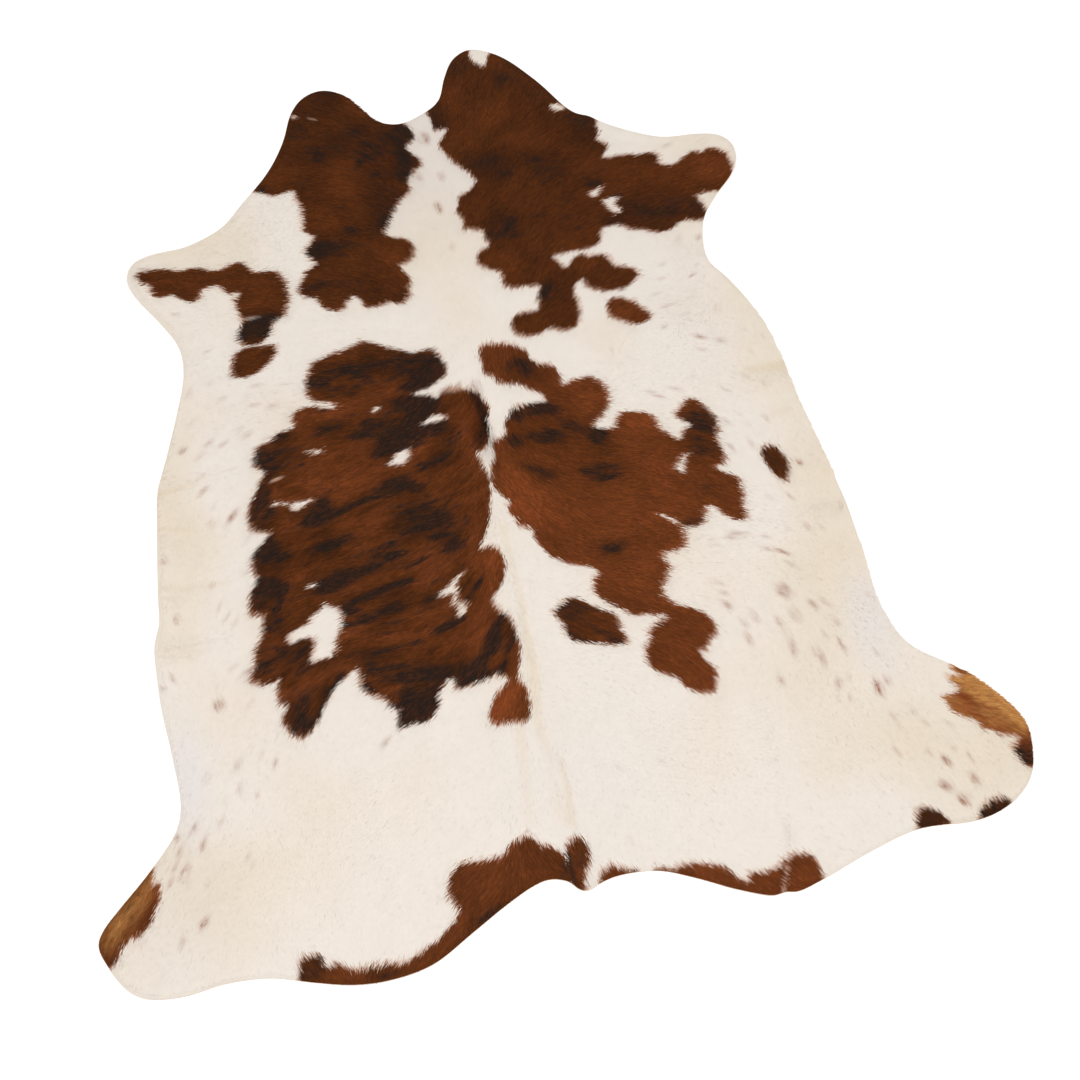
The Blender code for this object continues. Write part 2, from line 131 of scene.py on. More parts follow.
# Outlines of the brown patches, each a smooth closed line.
# Tone runs from 0, deep brown, to 1, red chestnut. Brindle runs from 0, even, to 1, full of dark hair.
patches = {
    "leftNeck": {
        "tone": 0.27,
        "brindle": 0.2,
        "line": [
            (-1.5, 94.5), (-3, 104), (-12, 122), (-34, 122), (-48, 108), (-48, 84), (-41, 80),
            (-38, 78), (-33, 78.2), (-32, 74.5), (-31.5, 70), (-32, 65.5), (-30, 63), (-32.5, 60),
            (-32, 57.3), (-30.5, 55.3), (-33, 53.5), (-34.5, 51), (-36, 47.5), (-34, 45.5), (-32, 45),
            (-31, 42.5), (-29, 40.7), (-26, 40.5), (-24.5, 42.5), (-23, 43.7), (-21.5, 42.5), (-21, 40),
            (-18, 39.5), (-15, 40), (-12.5, 39), (-10, 40.5), (-9.5, 43), (-8.5, 45.5), (-9.5, 47.5),
            (-10.5, 50.3), (-8, 51), (-6.5, 53), (-6.5, 56), (-8, 58), (-11, 59), (-12.3, 60.5),
            (-11, 63), (-9.5, 66), (-7, 69.5), (-4, 72.5), (-4, 75), (-2, 78), (0, 80), (0, 82),
            (-1.5, 84), (-2.3, 86.5), (-0.2, 88.5), (0, 91),
        ],
    },
    "rightNeck": {
        "tone": 0.3,
        "brindle": 0.12,
        "line": [
            (4.5, 96.7), (5.2, 93), (5.5, 90.3), (8.5, 89.6), (6, 86), (6, 84), (7.5, 80), (9.5, 77),
            (12, 73), (12.3, 71.3), (10, 69), (7.5, 68), (7, 65.5), (6, 63.5), (7, 60), (6.5, 57.8),
            (9, 57), (11, 56), (11.3, 53.5), (11.8, 51.5), (9.5, 50.5), (8, 47.5), (9.5, 45),
            (12.5, 43), (13, 41.5), (12.5, 39.5), (14, 38), (16, 37.5), (20.5, 37.2), (21, 36.5),
            (20, 34), (20, 31.5), (19.5, 30.2), (17, 30.5), (14, 30), (12.5, 28.5), (12.5, 25.5),
            (15, 23.5), (18, 23.3), (21, 24.3), (24.5, 23), (28, 24.5), (29, 27.5), (29.5, 31),
            (29, 33), (30, 35.5), (32, 36.5), (32, 35), (35, 32.5), (40, 31.6), (44, 33.5),
            (45.5, 35.5), (44.5, 37.5), (41, 39), (40, 41), (38.5, 43), (35, 43.3), (32.5, 44),
            (30.5, 42.5), (29, 41), (27, 43.5), (26.5, 45), (30, 45.2), (36, 45.3), (39, 47),
            (39.5, 50), (41, 50.7), (45, 50.5), (47, 48.5), (49.5, 48), (53, 46.4), (56.5, 46.5),
            (60, 48.5), (64, 48), (70, 46), (82, 48), (82, 55), (75, 57.2), (75.9, 59), (76.5, 61.5),
            (76.7, 63.8), (76.3, 66), (75.4, 67.5), (74.2, 68.6), (72.5, 69.3), (70, 68.5),
            (68.5, 69.3), (66, 68.3), (64, 67), (61.5, 66.3), (59, 68), (59.5, 70), (57, 71.5),
            (54, 71.3), (51, 72), (48, 72), (45.5, 72.5), (47.5, 74.5), (47.5, 76.5), (45.5, 78.5),
            (46.7, 80.5), (46.5, 83), (48, 88), (52, 100), (38, 124), (12, 124), (1, 108),
        ],
    },
    "rightShoulder": {
        "tone": 0.5,
        "brindle": 0.15,
        "line": [
            (35.5, 26.5), (36.5, 29.5), (38.5, 29.9), (42, 28), (44, 25.5), (45.3, 24), (45, 22),
            (42.5, 21.3), (41.5, 20.9), (38.5, 22.5), (36, 24.5),
        ],
    },
    "leftForeleg": {
        "tone": 0.36,
        "brindle": 0.25,
        "line": [
            (-73, 61), (-71.5, 61.5), (-69, 61.7), (-66, 61.5), (-63, 60.3), (-58.5, 60.3), (-57, 59.5),
            (-54, 58.3), (-50.5, 59.5), (-48, 59.5), (-46.5, 57.5), (-45, 55.7), (-42.5, 55.9),
            (-40, 54.8), (-38.5, 52), (-38, 48.5), (-38.5, 45), (-40, 41.5), (-42.5, 40.5), (-43.5, 38),
            (-45, 36), (-48, 35), (-50.5, 35.3), (-51.3, 37.5), (-51, 40), (-50, 42), (-50.5, 45),
            (-51, 48.5), (-50, 50.7), (-52.5, 51), (-54, 53.4), (-57, 53.8), (-58.5, 52.8), (-59, 51),
            (-61, 50.3), (-64, 52), (-65, 53.4), (-69, 53.5), (-70.3, 55), (-70.5, 57), (-72.5, 58.5),
        ],
    },
    "leftShoulder": {
        "tone": 0.33,
        "brindle": 0.3,
        "line": [
            (-54, 27.5), (-53.5, 31.5), (-52.5, 33.7), (-50, 34.5), (-46, 34.2), (-43.3, 34.2),
            (-43, 32), (-45, 29.5), (-48.5, 27), (-51.5, 26.5),
        ],
    },
    "leftBack": {
        "tone": 0.57,
        "brindle": 1.0,
        "line": [
            (-24, 30.2), (-21.5, 30.2), (-19.5, 28.8), (-15, 26.3), (-12.5, 25), (-10, 24.5),
            (-7.5, 25), (-6, 22.5), (-5, 19.8), (-5, 17.5), (-8, 15.5), (-10, 14.3), (-13.5, 14),
            (-13.5, 13.7), (-10.5, 12.5), (-8.5, 11.5), (-6.5, 13.5), (-4, 13.5), (-2, 12.5), (0.5, 11),
            (1.5, 8.5), (2.5, 6.5), (1.5, 3.5), (1.2, 0), (0.5, -3), (-0.5, -4.5), (-2.5, -5),
            (-1.8, -8), (-1.3, -10.5), (-1.2, -14), (-2, -17), (-2.5, -20), (-4, -24), (-5.5, -27),
            (-6.5, -28.3), (-4, -28.5), (-2.3, -31), (-2, -33), (-3, -37), (-5, -39.5), (-6.5, -41.3),
            (-5, -44), (-3.5, -45.5), (-3, -50), (-3, -54), (-4, -57.5), (-4.5, -60), (-3.5, -62.5),
            (-3.8, -66), (-5, -69.3), (-8, -69), (-12.3, -68.2), (-12, -65), (-10, -62), (-7.5, -60.3),
            (-6.8, -59.5), (-9, -58.2), (-13, -59), (-18, -59.3), (-18.3, -57), (-19.5, -57.5),
            (-21.5, -59.5), (-22, -62), (-24, -64.5), (-28, -65), (-31, -65), (-30.8, -62),
            (-32, -60.5), (-33.5, -58), (-37, -55.5), (-37.5, -52.5), (-37.5, -50.5), (-40.5, -52.3),
            (-42.8, -54.2), (-44.7, -56.4), (-46.2, -59), (-48.3, -61.7), (-50.7, -63.1),
            (-53.4, -61.2), (-54.5, -58.5), (-53, -55.5), (-54.5, -54.5), (-54.5, -51.5), (-54, -49.5),
            (-57, -50), (-59, -49), (-60, -48), (-58.5, -45.5), (-58, -42), (-56, -39), (-55.5, -36),
            (-55.5, -34.3), (-57.5, -33.2), (-57.8, -31.5), (-56.8, -28), (-55.5, -25.5), (-56, -22),
            (-55.2, -19), (-53, -17), (-51, -15), (-53, -14.3), (-55, -13.3), (-55.3, -10.5),
            (-54.8, -7.5), (-53, -4.5), (-51.5, -1.5), (-50.3, 0.5), (-52, 2.5), (-52, 5), (-50.5, 7.3),
            (-48, 8), (-46, 10), (-43, 10.3), (-41.5, 11), (-42.5, 12.5), (-41.5, 14.5), (-39.5, 15.2),
            (-36, 15), (-33.5, 14), (-32, 13.7), (-32.5, 15), (-35, 16), (-37, 17), (-38, 20),
            (-37.5, 22.5), (-36.5, 25), (-35, 27.3), (-32, 28), (-30, 28.8), (-27, 29),
        ],
    },
    "rightBack": {
        "tone": 0.62,
        "brindle": 0.12,
        "line": [
            (3, 20), (3.5, 22.5), (4.5, 23.3), (7.5, 23.2), (10, 22.5), (12.5, 21), (14, 20),
            (14.5, 17.5), (16, 15.5), (19, 14.5), (20, 12.5), (20.3, 10), (20, 8.5), (23, 9.3),
            (26.5, 9.5), (28.5, 8.5), (30, 5.5), (30.2, 3.5), (29.5, 1), (27.5, -1.5), (24.5, -4),
            (28, -5), (29.5, -4.8), (30, -3), (32, -1.5), (34, -2), (37, -3), (39, -5), (39.3, -8),
            (41, -9.5), (43, -11.5), (44, -9.5), (46, -8), (44.5, -6.5), (43.5, -5), (46, -2.5),
            (47, -1.5), (50, -2.5), (51.5, -5), (52.5, -8.5), (52.5, -10.5), (51.5, -13), (52, -17),
            (51.5, -19.5), (49, -20.3), (51, -22), (53, -23.5), (53.5, -26), (53.3, -28), (52.5, -31),
            (52, -34), (50, -34), (47.5, -32), (46, -29.5), (44.5, -29.3), (43.5, -31.5), (42, -33.3),
            (40, -33.7), (37.5, -32.5), (35.5, -30), (33, -28.7), (36, -31), (37.8, -33.5), (37.7, -37),
            (35.5, -38.5), (32, -38.5), (32.5, -42), (31.5, -44.5), (29.5, -47.5), (31, -50), (34, -52),
            (36, -53), (38, -55.5), (38.3, -58.5), (36.5, -60.5), (35, -62.3), (33.8, -62), (34.3, -64),
            (35.8, -66.5), (35.3, -69.5), (34.5, -71.5), (32, -71.3), (29, -69.5), (27, -66.5),
            (24, -65), (22.3, -62), (22.5, -59.5), (24, -57), (24.5, -55.5), (27, -53.7), (29, -53),
            (26, -52), (22, -51.3), (19.5, -49), (17, -47), (15.5, -45), (15.3, -42), (17, -39.5),
            (16, -38.5), (13, -37), (10, -35.5), (8, -34), (6.5, -31.5), (5.5, -29), (5.5, -26.5),
            (3, -25), (2, -22), (1, -19.5), (2, -19.3), (0.5, -16.5), (-0.8, -14.5), (-1, -12),
            (-0.3, -9), (1, -6.5), (1.5, -3), (4, -2), (5, -0.5), (5, 1), (6.5, 3.5), (8, 5), (12, 5.3),
            (15, 5.2), (15.5, 7), (13, 8.8), (10.5, 10.5), (8, 11.5), (6, 12.3), (4.5, 14.5), (3, 16),
            (3.5, 18),
        ],
    },
    "loinSpot": {
        "tone": 0.62,
        "brindle": 0.4,
        "line": [
            (5.5, -47), (7, -45.3), (10, -44.5), (12.5, -45.5), (15, -48), (18, -50), (19, -52),
            (18.8, -54), (19.3, -56.5), (17, -57.2), (14, -56.3), (10, -55), (8, -54), (7, -51.5),
            (6.3, -49),
        ],
    },
    "flankSpot": {
        "tone": 0.38,
        "brindle": 0.3,
        "line": [
            (62, -17), (64, -18), (65, -20), (65.4, -22.5), (64.8, -25), (63.5, -27), (61.5, -25),
            (60.3, -22), (59.8, -19.5), (60.5, -17.8),
        ],
    },
    "leftRump": {
        "tone": 0.52,
        "brindle": 0.18,
        "line": [
            (-3.7, -98), (-4, -97.5), (-6, -96), (-8.5, -94.5), (-9.5, -92.8), (-12, -93), (-14, -94),
            (-16, -95.5), (-19, -95.5), (-24, -95.3), (-26, -96.5), (-27.3, -98.5), (-27.5, -101),
            (-26.5, -104.3), (-28, -106), (-31, -108.5), (-34, -109.8), (-38, -111.5), (-42, -110.8),
            (-46, -110.7), (-49, -110), (-50.5, -108.8), (-53, -108.8), (-54, -106.5), (-57.5, -106.5),
            (-58.5, -109.8), (-59, -113), (-56, -122), (-20, -122), (-3.7, -110),
        ],
    },
    "tailRoot": {
        "tone": 0.5,
        "brindle": 0.35,
        "line": [
            (-3.5, -97.5), (-2.5, -95.5), (0, -95), (1, -97), (1.3, -99), (0.5, -101), (-0.7, -102.5),
            (-1, -104.5), (-1.2, -112), (-5, -112), (-4, -103),
        ],
    },
    "tailSide": {
        "tone": 0.6,
        "brindle": 0.2,
        "line": [
            (1.6, -106), (2, -104.3), (3, -102.5), (5, -102), (7, -103), (9.5, -104.5), (11, -106),
            (7, -112),
        ],
    },
    "rightRump": {
        "tone": 0.66,
        "brindle": 0.15,
        "line": [
            (12, -106), (13, -104.5), (16, -105), (20, -105), (24, -106), (27, -107.5), (28, -109.5),
            (30.5, -111), (31, -109.5), (35, -109.7), (38, -108.5), (39.8, -107.5), (44, -108.8),
            (44.5, -110.5), (45, -113), (44, -124), (20, -124), (12, -112),
        ],
    },
    "rightHindEdge": {
        "tone": 0.25,
        "brindle": 0.4,
        "line": [
            (65, -110), (66, -107.8), (67, -105), (68, -104.3), (70, -104.8), (71.5, -106),
            (73, -108.3), (72, -114),
        ],
    },
    "rightHindTip": {
        "tone": 0.2,
        "brindle": 0.4,
        "line": [
            (78, -110), (79, -108.3), (80, -107), (82, -106), (84.5, -105.7), (86, -106.8), (87, -112),
        ],
    },
    "rightHindLeg": {
        "tone": 1.0,
        "brindle": 0.15,
        "line": [
            (84.2, -76.5), (84.5, -77.7), (85.3, -79.3), (84.2, -79), (83, -79), (82.6, -79.6),
            (83.3, -80.7), (83.7, -82), (82.3, -82.5), (80.4, -83.3), (80.8, -84.6), (81.2, -86.4),
            (82.6, -87.6), (84.3, -88.9), (85.4, -90.3), (85.6, -91.3), (87.2, -92), (88.8, -93.4),
            (91.2, -93.9), (92.3, -94.8), (91, -95.8), (90.2, -96.9), (90.5, -98), (90.8, -99.7),
            (91.5, -100.6), (92.4, -101.5), (97, -103), (99, -90), (96, -74),
        ],
    },
    "leftHindLeg": {
        "tone": 0.62,
        "brindle": 0.2,
        "line": [
            (-83.2, -82.5), (-83.8, -85.5), (-83.3, -86), (-82.6, -86), (-82.3, -87.5), (-82.4, -89.2),
            (-83.5, -91.2), (-84.5, -93.3), (-85.8, -94.9), (-87, -95.7), (-88.6, -95.9),
            (-89.6, -96.7), (-90.7, -98), (-91.4, -99.4), (-92.5, -100.6), (-97, -102), (-98, -88),
            (-90, -80),
        ],
    },
}

# White gaps inside the patches.
gaps = [
    [(-23.6, 10.8), (-22.9, 12), (-22.3, 11.3), (-23, 10.6)],
    [(-13.5, 5), (-10.5, 6.7), (-8, 6.5), (-7.5, 5.3), (-10, 5)],
    [
        (-22.8, -3.6), (-20.8, -1.9), (-19.2, -0.7), (-17.6, -0.2), (-17.8, -2.8), (-18.8, -4.3),
        (-20.8, -4.1),
    ],
    [(-40, 4), (-38.5, 2.7), (-36.5, 3.3), (-38.5, 3.7)],
    [
        (-49.5, -8.1), (-46.2, -8.9), (-44.6, -10.6), (-42.6, -9.9), (-40.4, -8.5), (-43, -8.5),
        (-45.7, -8.2), (-47.7, -7.7),
    ],
    [(-45, -29.8), (-43.8, -30.2), (-42.5, -29.4), (-43.8, -29)],
    [
        (-42, -34.3), (-40.5, -35), (-38.8, -36), (-39, -40.5), (-40.5, -43), (-42, -46.5), (-44, -47),
        (-46.5, -46.5), (-45.5, -44.5), (-45.5, -41.5), (-47, -41), (-50, -42), (-50.5, -40.5),
        (-48.5, -38.5), (-46, -38), (-45, -36.5), (-43, -35.5),
    ],
    [
        (-11, -33.6), (-13, -35.2), (-13.3, -37), (-13.5, -39.5), (-12, -41.5), (-13.5, -43.5),
        (-14.5, -42.8), (-14, -41.3), (-15.3, -40.3), (-14.8, -38.3), (-17.5, -37.5), (-15, -35.5),
        (-13, -34.3),
    ],
    [
        (19.3, 115), (19.2, 111.5), (20.5, 109.8), (21.5, 108.5), (23, 109.5), (24, 112), (25, 113.5),
        (22, 119),
    ],
    [(36.3, 92), (38, 92.3), (40, 90.3), (37.5, 90), (36.5, 90.8)],
    [(39.5, 62), (43, 63), (40.5, 60.3)],
    [(42.3, 59), (46.5, 59), (45, 57.5), (46, 55.5), (45, 54), (43, 56)],
    [(66, 55.8), (70.5, 55.8), (74, 54), (72, 48), (66.5, 48), (66.5, 51.5), (65.8, 53.5)],
    [(44, -15), (42, -16), (41, -17.5), (40, -18.7), (42, -19.8), (42.5, -18), (43, -16.5)],
    [(-29.4, 101.9), (-28.5, 102.7), (-28.3, 101.8)],
]

# Which way the hair lies: across, along, degrees from the rug's right, turning towards the neck.
hairWays = {
    "left": [
        (-25, 105, -35), (-15, 100, -38), (-20, 85, -33), (-32, 88, -15), (-38, 82, 0), (-10, 85, -40),
        (-3, 90, -50), (-12, 70, -40), (-5, 75, -50), (-8, 60, -45), (-20, 65, -22), (-30, 65, -8),
        (-42, 70, 5), (-55, 62, 0), (-70, 60, 0), (-60, 52, -15), (-65, 47, -25), (-64, 43, -50),
        (-38, 50, -3), (-46, 45, -5), (-33, 58, -5), (-28, 45, -20), (-20, 45, -30), (-12, 42, -40),
        (-8, 47, -50), (-5, 20, -135), (-8, 14, -140), (-10, 18, -160), (-8, 23, 165), (-15, 25, 155),
        (-22, 28, 155), (-30, 28, 165), (-20, 22, -178), (-28, 23, 180), (-38, 20, -178),
        (-47, 38, 185), (-49, 30, 190), (-52, 3, -170), (-53, -2, -140), (-4, -60, -110),
        (-3, -5, -120), (-67.5, 10, -120), (-52, 11, -165), (-74.5, -16.5, -60), (-10, -75, -125),
        (-20, -80, -135), (-40, -68, -135), (-40, -80, -140), (-22, -95, -150), (-40, -110, -125),
        (-58.9, 35.3, -168), (-49.1, 23.6, 179), (-42.4, 22.8, 173), (-45.7, 17.7, -175),
        (-55, 12.4, -146), (-58.4, 9.8, -151), (-64.1, 2.5, -157), (-58, 2.9, -169),
        (-64.2, -1.3, -133), (-58.8, -9.2, -127), (-63.2, -33.7, -128), (-63.9, -30, -116),
        (-64.1, 25.9, -123), (-64.9, -24.7, -106), (-73.2, -31, -70), (-57.4, -23, -147),
        (-64.5, 16.9, -134), (-74.9, -77.3, -122), (-77.3, -85.3, -117), (-81.3, -84.3, -133),
        (-73.3, -80.6, -119), (-64.7, -65.7, -125), (-64.8, -71, -95), (-61.1, -73, -102),
        (-57, -67.1, -103), (-59.6, -64.7, -133), (-74.8, -95.6, -134), (-79.3, -98.5, -107),
        (-64.9, -85.1, -134), (-75.6, -44.2, -69), (-66.6, -52.2, -70), (-59.8, -46.5, -148),
        (-60.5, -80.7, -70), (-85.7, -90.7, -133), (-84.8, -97.4, -106), (-80.7, -94.5, -117),
        (-54, -107, -60), (-4, -98, -60), (-3, -22, -112), (-4, -34, -116), (-14, -66, -130),
        (-35, -66, -135), (-26.2, 23, 173), (-34.4, 21.8, 177), (-23.6, 16.5, 179), (-10.8, 14.2, -147),
        (-12.8, 8.6, -137), (-17.4, 3.7, -164), (-23.3, 7.1, -179), (-32.7, 9.2, -179),
        (-38.2, 2.9, -167), (-32.9, -12.3, -164), (-44.9, -8.7, -174), (-46.4, 3.2, -169),
        (-37.3, -20.5, -170), (-20.7, -9.4, -179), (-18, -17.2, -176), (-14.1, -20.6, -165),
        (-10.6, -4.3, -153), (-10, 3.6, -164), (-9.9, -10.2, -150), (-40.8, -30.4, -174),
        (-28.9, -33.6, -170), (-23.8, -32.9, -162), (-31.3, -39.1, -179), (-27.9, -42, -179),
        (-19.2, -38, -165), (-14, -36.9, -144), (-17.1, -45, -160), (-28.9, -47.7, -176),
        (-26.2, -54.5, 178), (-26.7, -62.6, -145), (-9, -37, -134), (-7.4, -48.2, -132),
        (-9.1, -52, -133), (-13.2, -57.4, -148), (-9, -60.9, -116), (-11.7, -32.5, -144),
        (-26.3, -27.6, -168), (-49, -49.4, -149), (-50, -59.4, -123), (-54.2, -42, -176),
        (-53.4, -21.5, -164), (-56.1, -48.9, -154),
    ],
    "middle": [
        (0, 90, -75), (2, 88, -62), (2, 65, -85), (0, 50, -90), (0, 40, -90), (0, 30, -90),
        (0, 20, -90), (0, 14, -90), (0, -80, -85), (-3, -75, -95), (-1, -96, -80), (2, -98, -75),
    ],
    "right": [
        (7, 88, -125), (10, 75, -125), (8, 62, -122), (4.5, 75, -110), (3, 53, -115), (12, 45, -133),
        (15, 65, -138), (20, 62, -140), (18, 24, -138), (29, 27, -150), (14, 25, -140), (42, 25, -145),
        (36, 42, -140), (54, 48, -165), (48, 58, 180), (60, 68, -165), (45, 76, -150), (46.5, 83, -140),
        (20, 110, -115), (30, 100, -130), (40, 85, -150), (35, 75, -155), (45, 65, -165),
        (60, 60, -175), (72, 68, -160), (55, 40, -140), (62, 42, -110), (48, 28, 175), (4, 5, -135),
        (2, -2, -100), (2, -6, -80), (3, -5, -65), (5, -8, -60), (2, -22, -70), (5, -15, -65),
        (10, -12, -42), (7, -28, -60), (10, -30, -45), (17, -45, -35), (14, 3, -25), (13, -3, -15),
        (24, -16, -3), (20, -34.5, -3), (4, 19, -110), (14, 20, -60), (28, 8, -8), (45, -8, -5),
        (50, -8, -15), (52, -8, -45), (63, -22, -65), (52, -30, -30), (47, -32, -35), (30, -42, -30),
        (12, -50, -40), (16, -54.5, -30), (32, -68, -55), (38, -60, -50), (54.9, 14.5, -22),
        (59.5, 12.6, -27), (54.5, 10.9, -25), (49.9, 4.2, -3), (50.8, 25, -175), (47.7, 28.4, -175),
        (39.7, 2.2, -24), (62.2, 1.7, -46), (66.4, -1.2, -94), (63.7, -9.9, -75), (56.8, -0.8, -48),
        (53.3, 21.5, 173), (51.7, 36.7, 180), (57.6, 43.3, -138), (58.5, -15.5, -89), (69.5, 11.4, -80),
        (54.2, -42.1, -28), (57.8, -43.8, -37), (58.9, -47.3, -41), (64.9, -39.3, -69),
        (42.1, -53.2, -54), (55.2, -52.7, -63), (56, -58.4, -68), (60.6, -57.4, -48),
        (47.3, -57.1, -76), (44.5, -61.6, -77), (53.2, -65.6, -98), (58.5, -69.1, -88),
        (60.7, -64.4, -76), (48.7, -72.5, -83), (60.3, -75.4, -113), (62.6, -74.8, -99),
        (68.1, -78.3, -81), (69.9, -86.7, -79), (75.1, -87.5, -63), (76.5, -96.2, -66),
        (74.9, -101, -62), (71, -73.4, -79), (66.9, -67.4, -68), (74.7, -80.6, -57), (80.3, -81.8, -40),
        (48.5, -37.7, -4), (42.5, -37.1, -7), (41.8, -47.9, -29), (37.8, -49.5, -18), (73, -36, -120),
        (8, -80, -50), (20, -80, -40), (40, -80, -35), (82, -96, -75), (85, -99, -87), (82, -84, -20),
        (88, -85, -17), (90, -98, -30), (68, -105, -60), (22, -106, -57), (33, -110, -55),
        (40, -110, -55),
    ],
}

# The line down the back where the hair parts: across, along.
spine = [
    (2, 118), (2, 60), (0.8, 30), (0, 14), (0.6, 4), (0, -6), (-1.4, -14), (-2, -30), (-2.2, -68),
    (-1.5, -118),
]

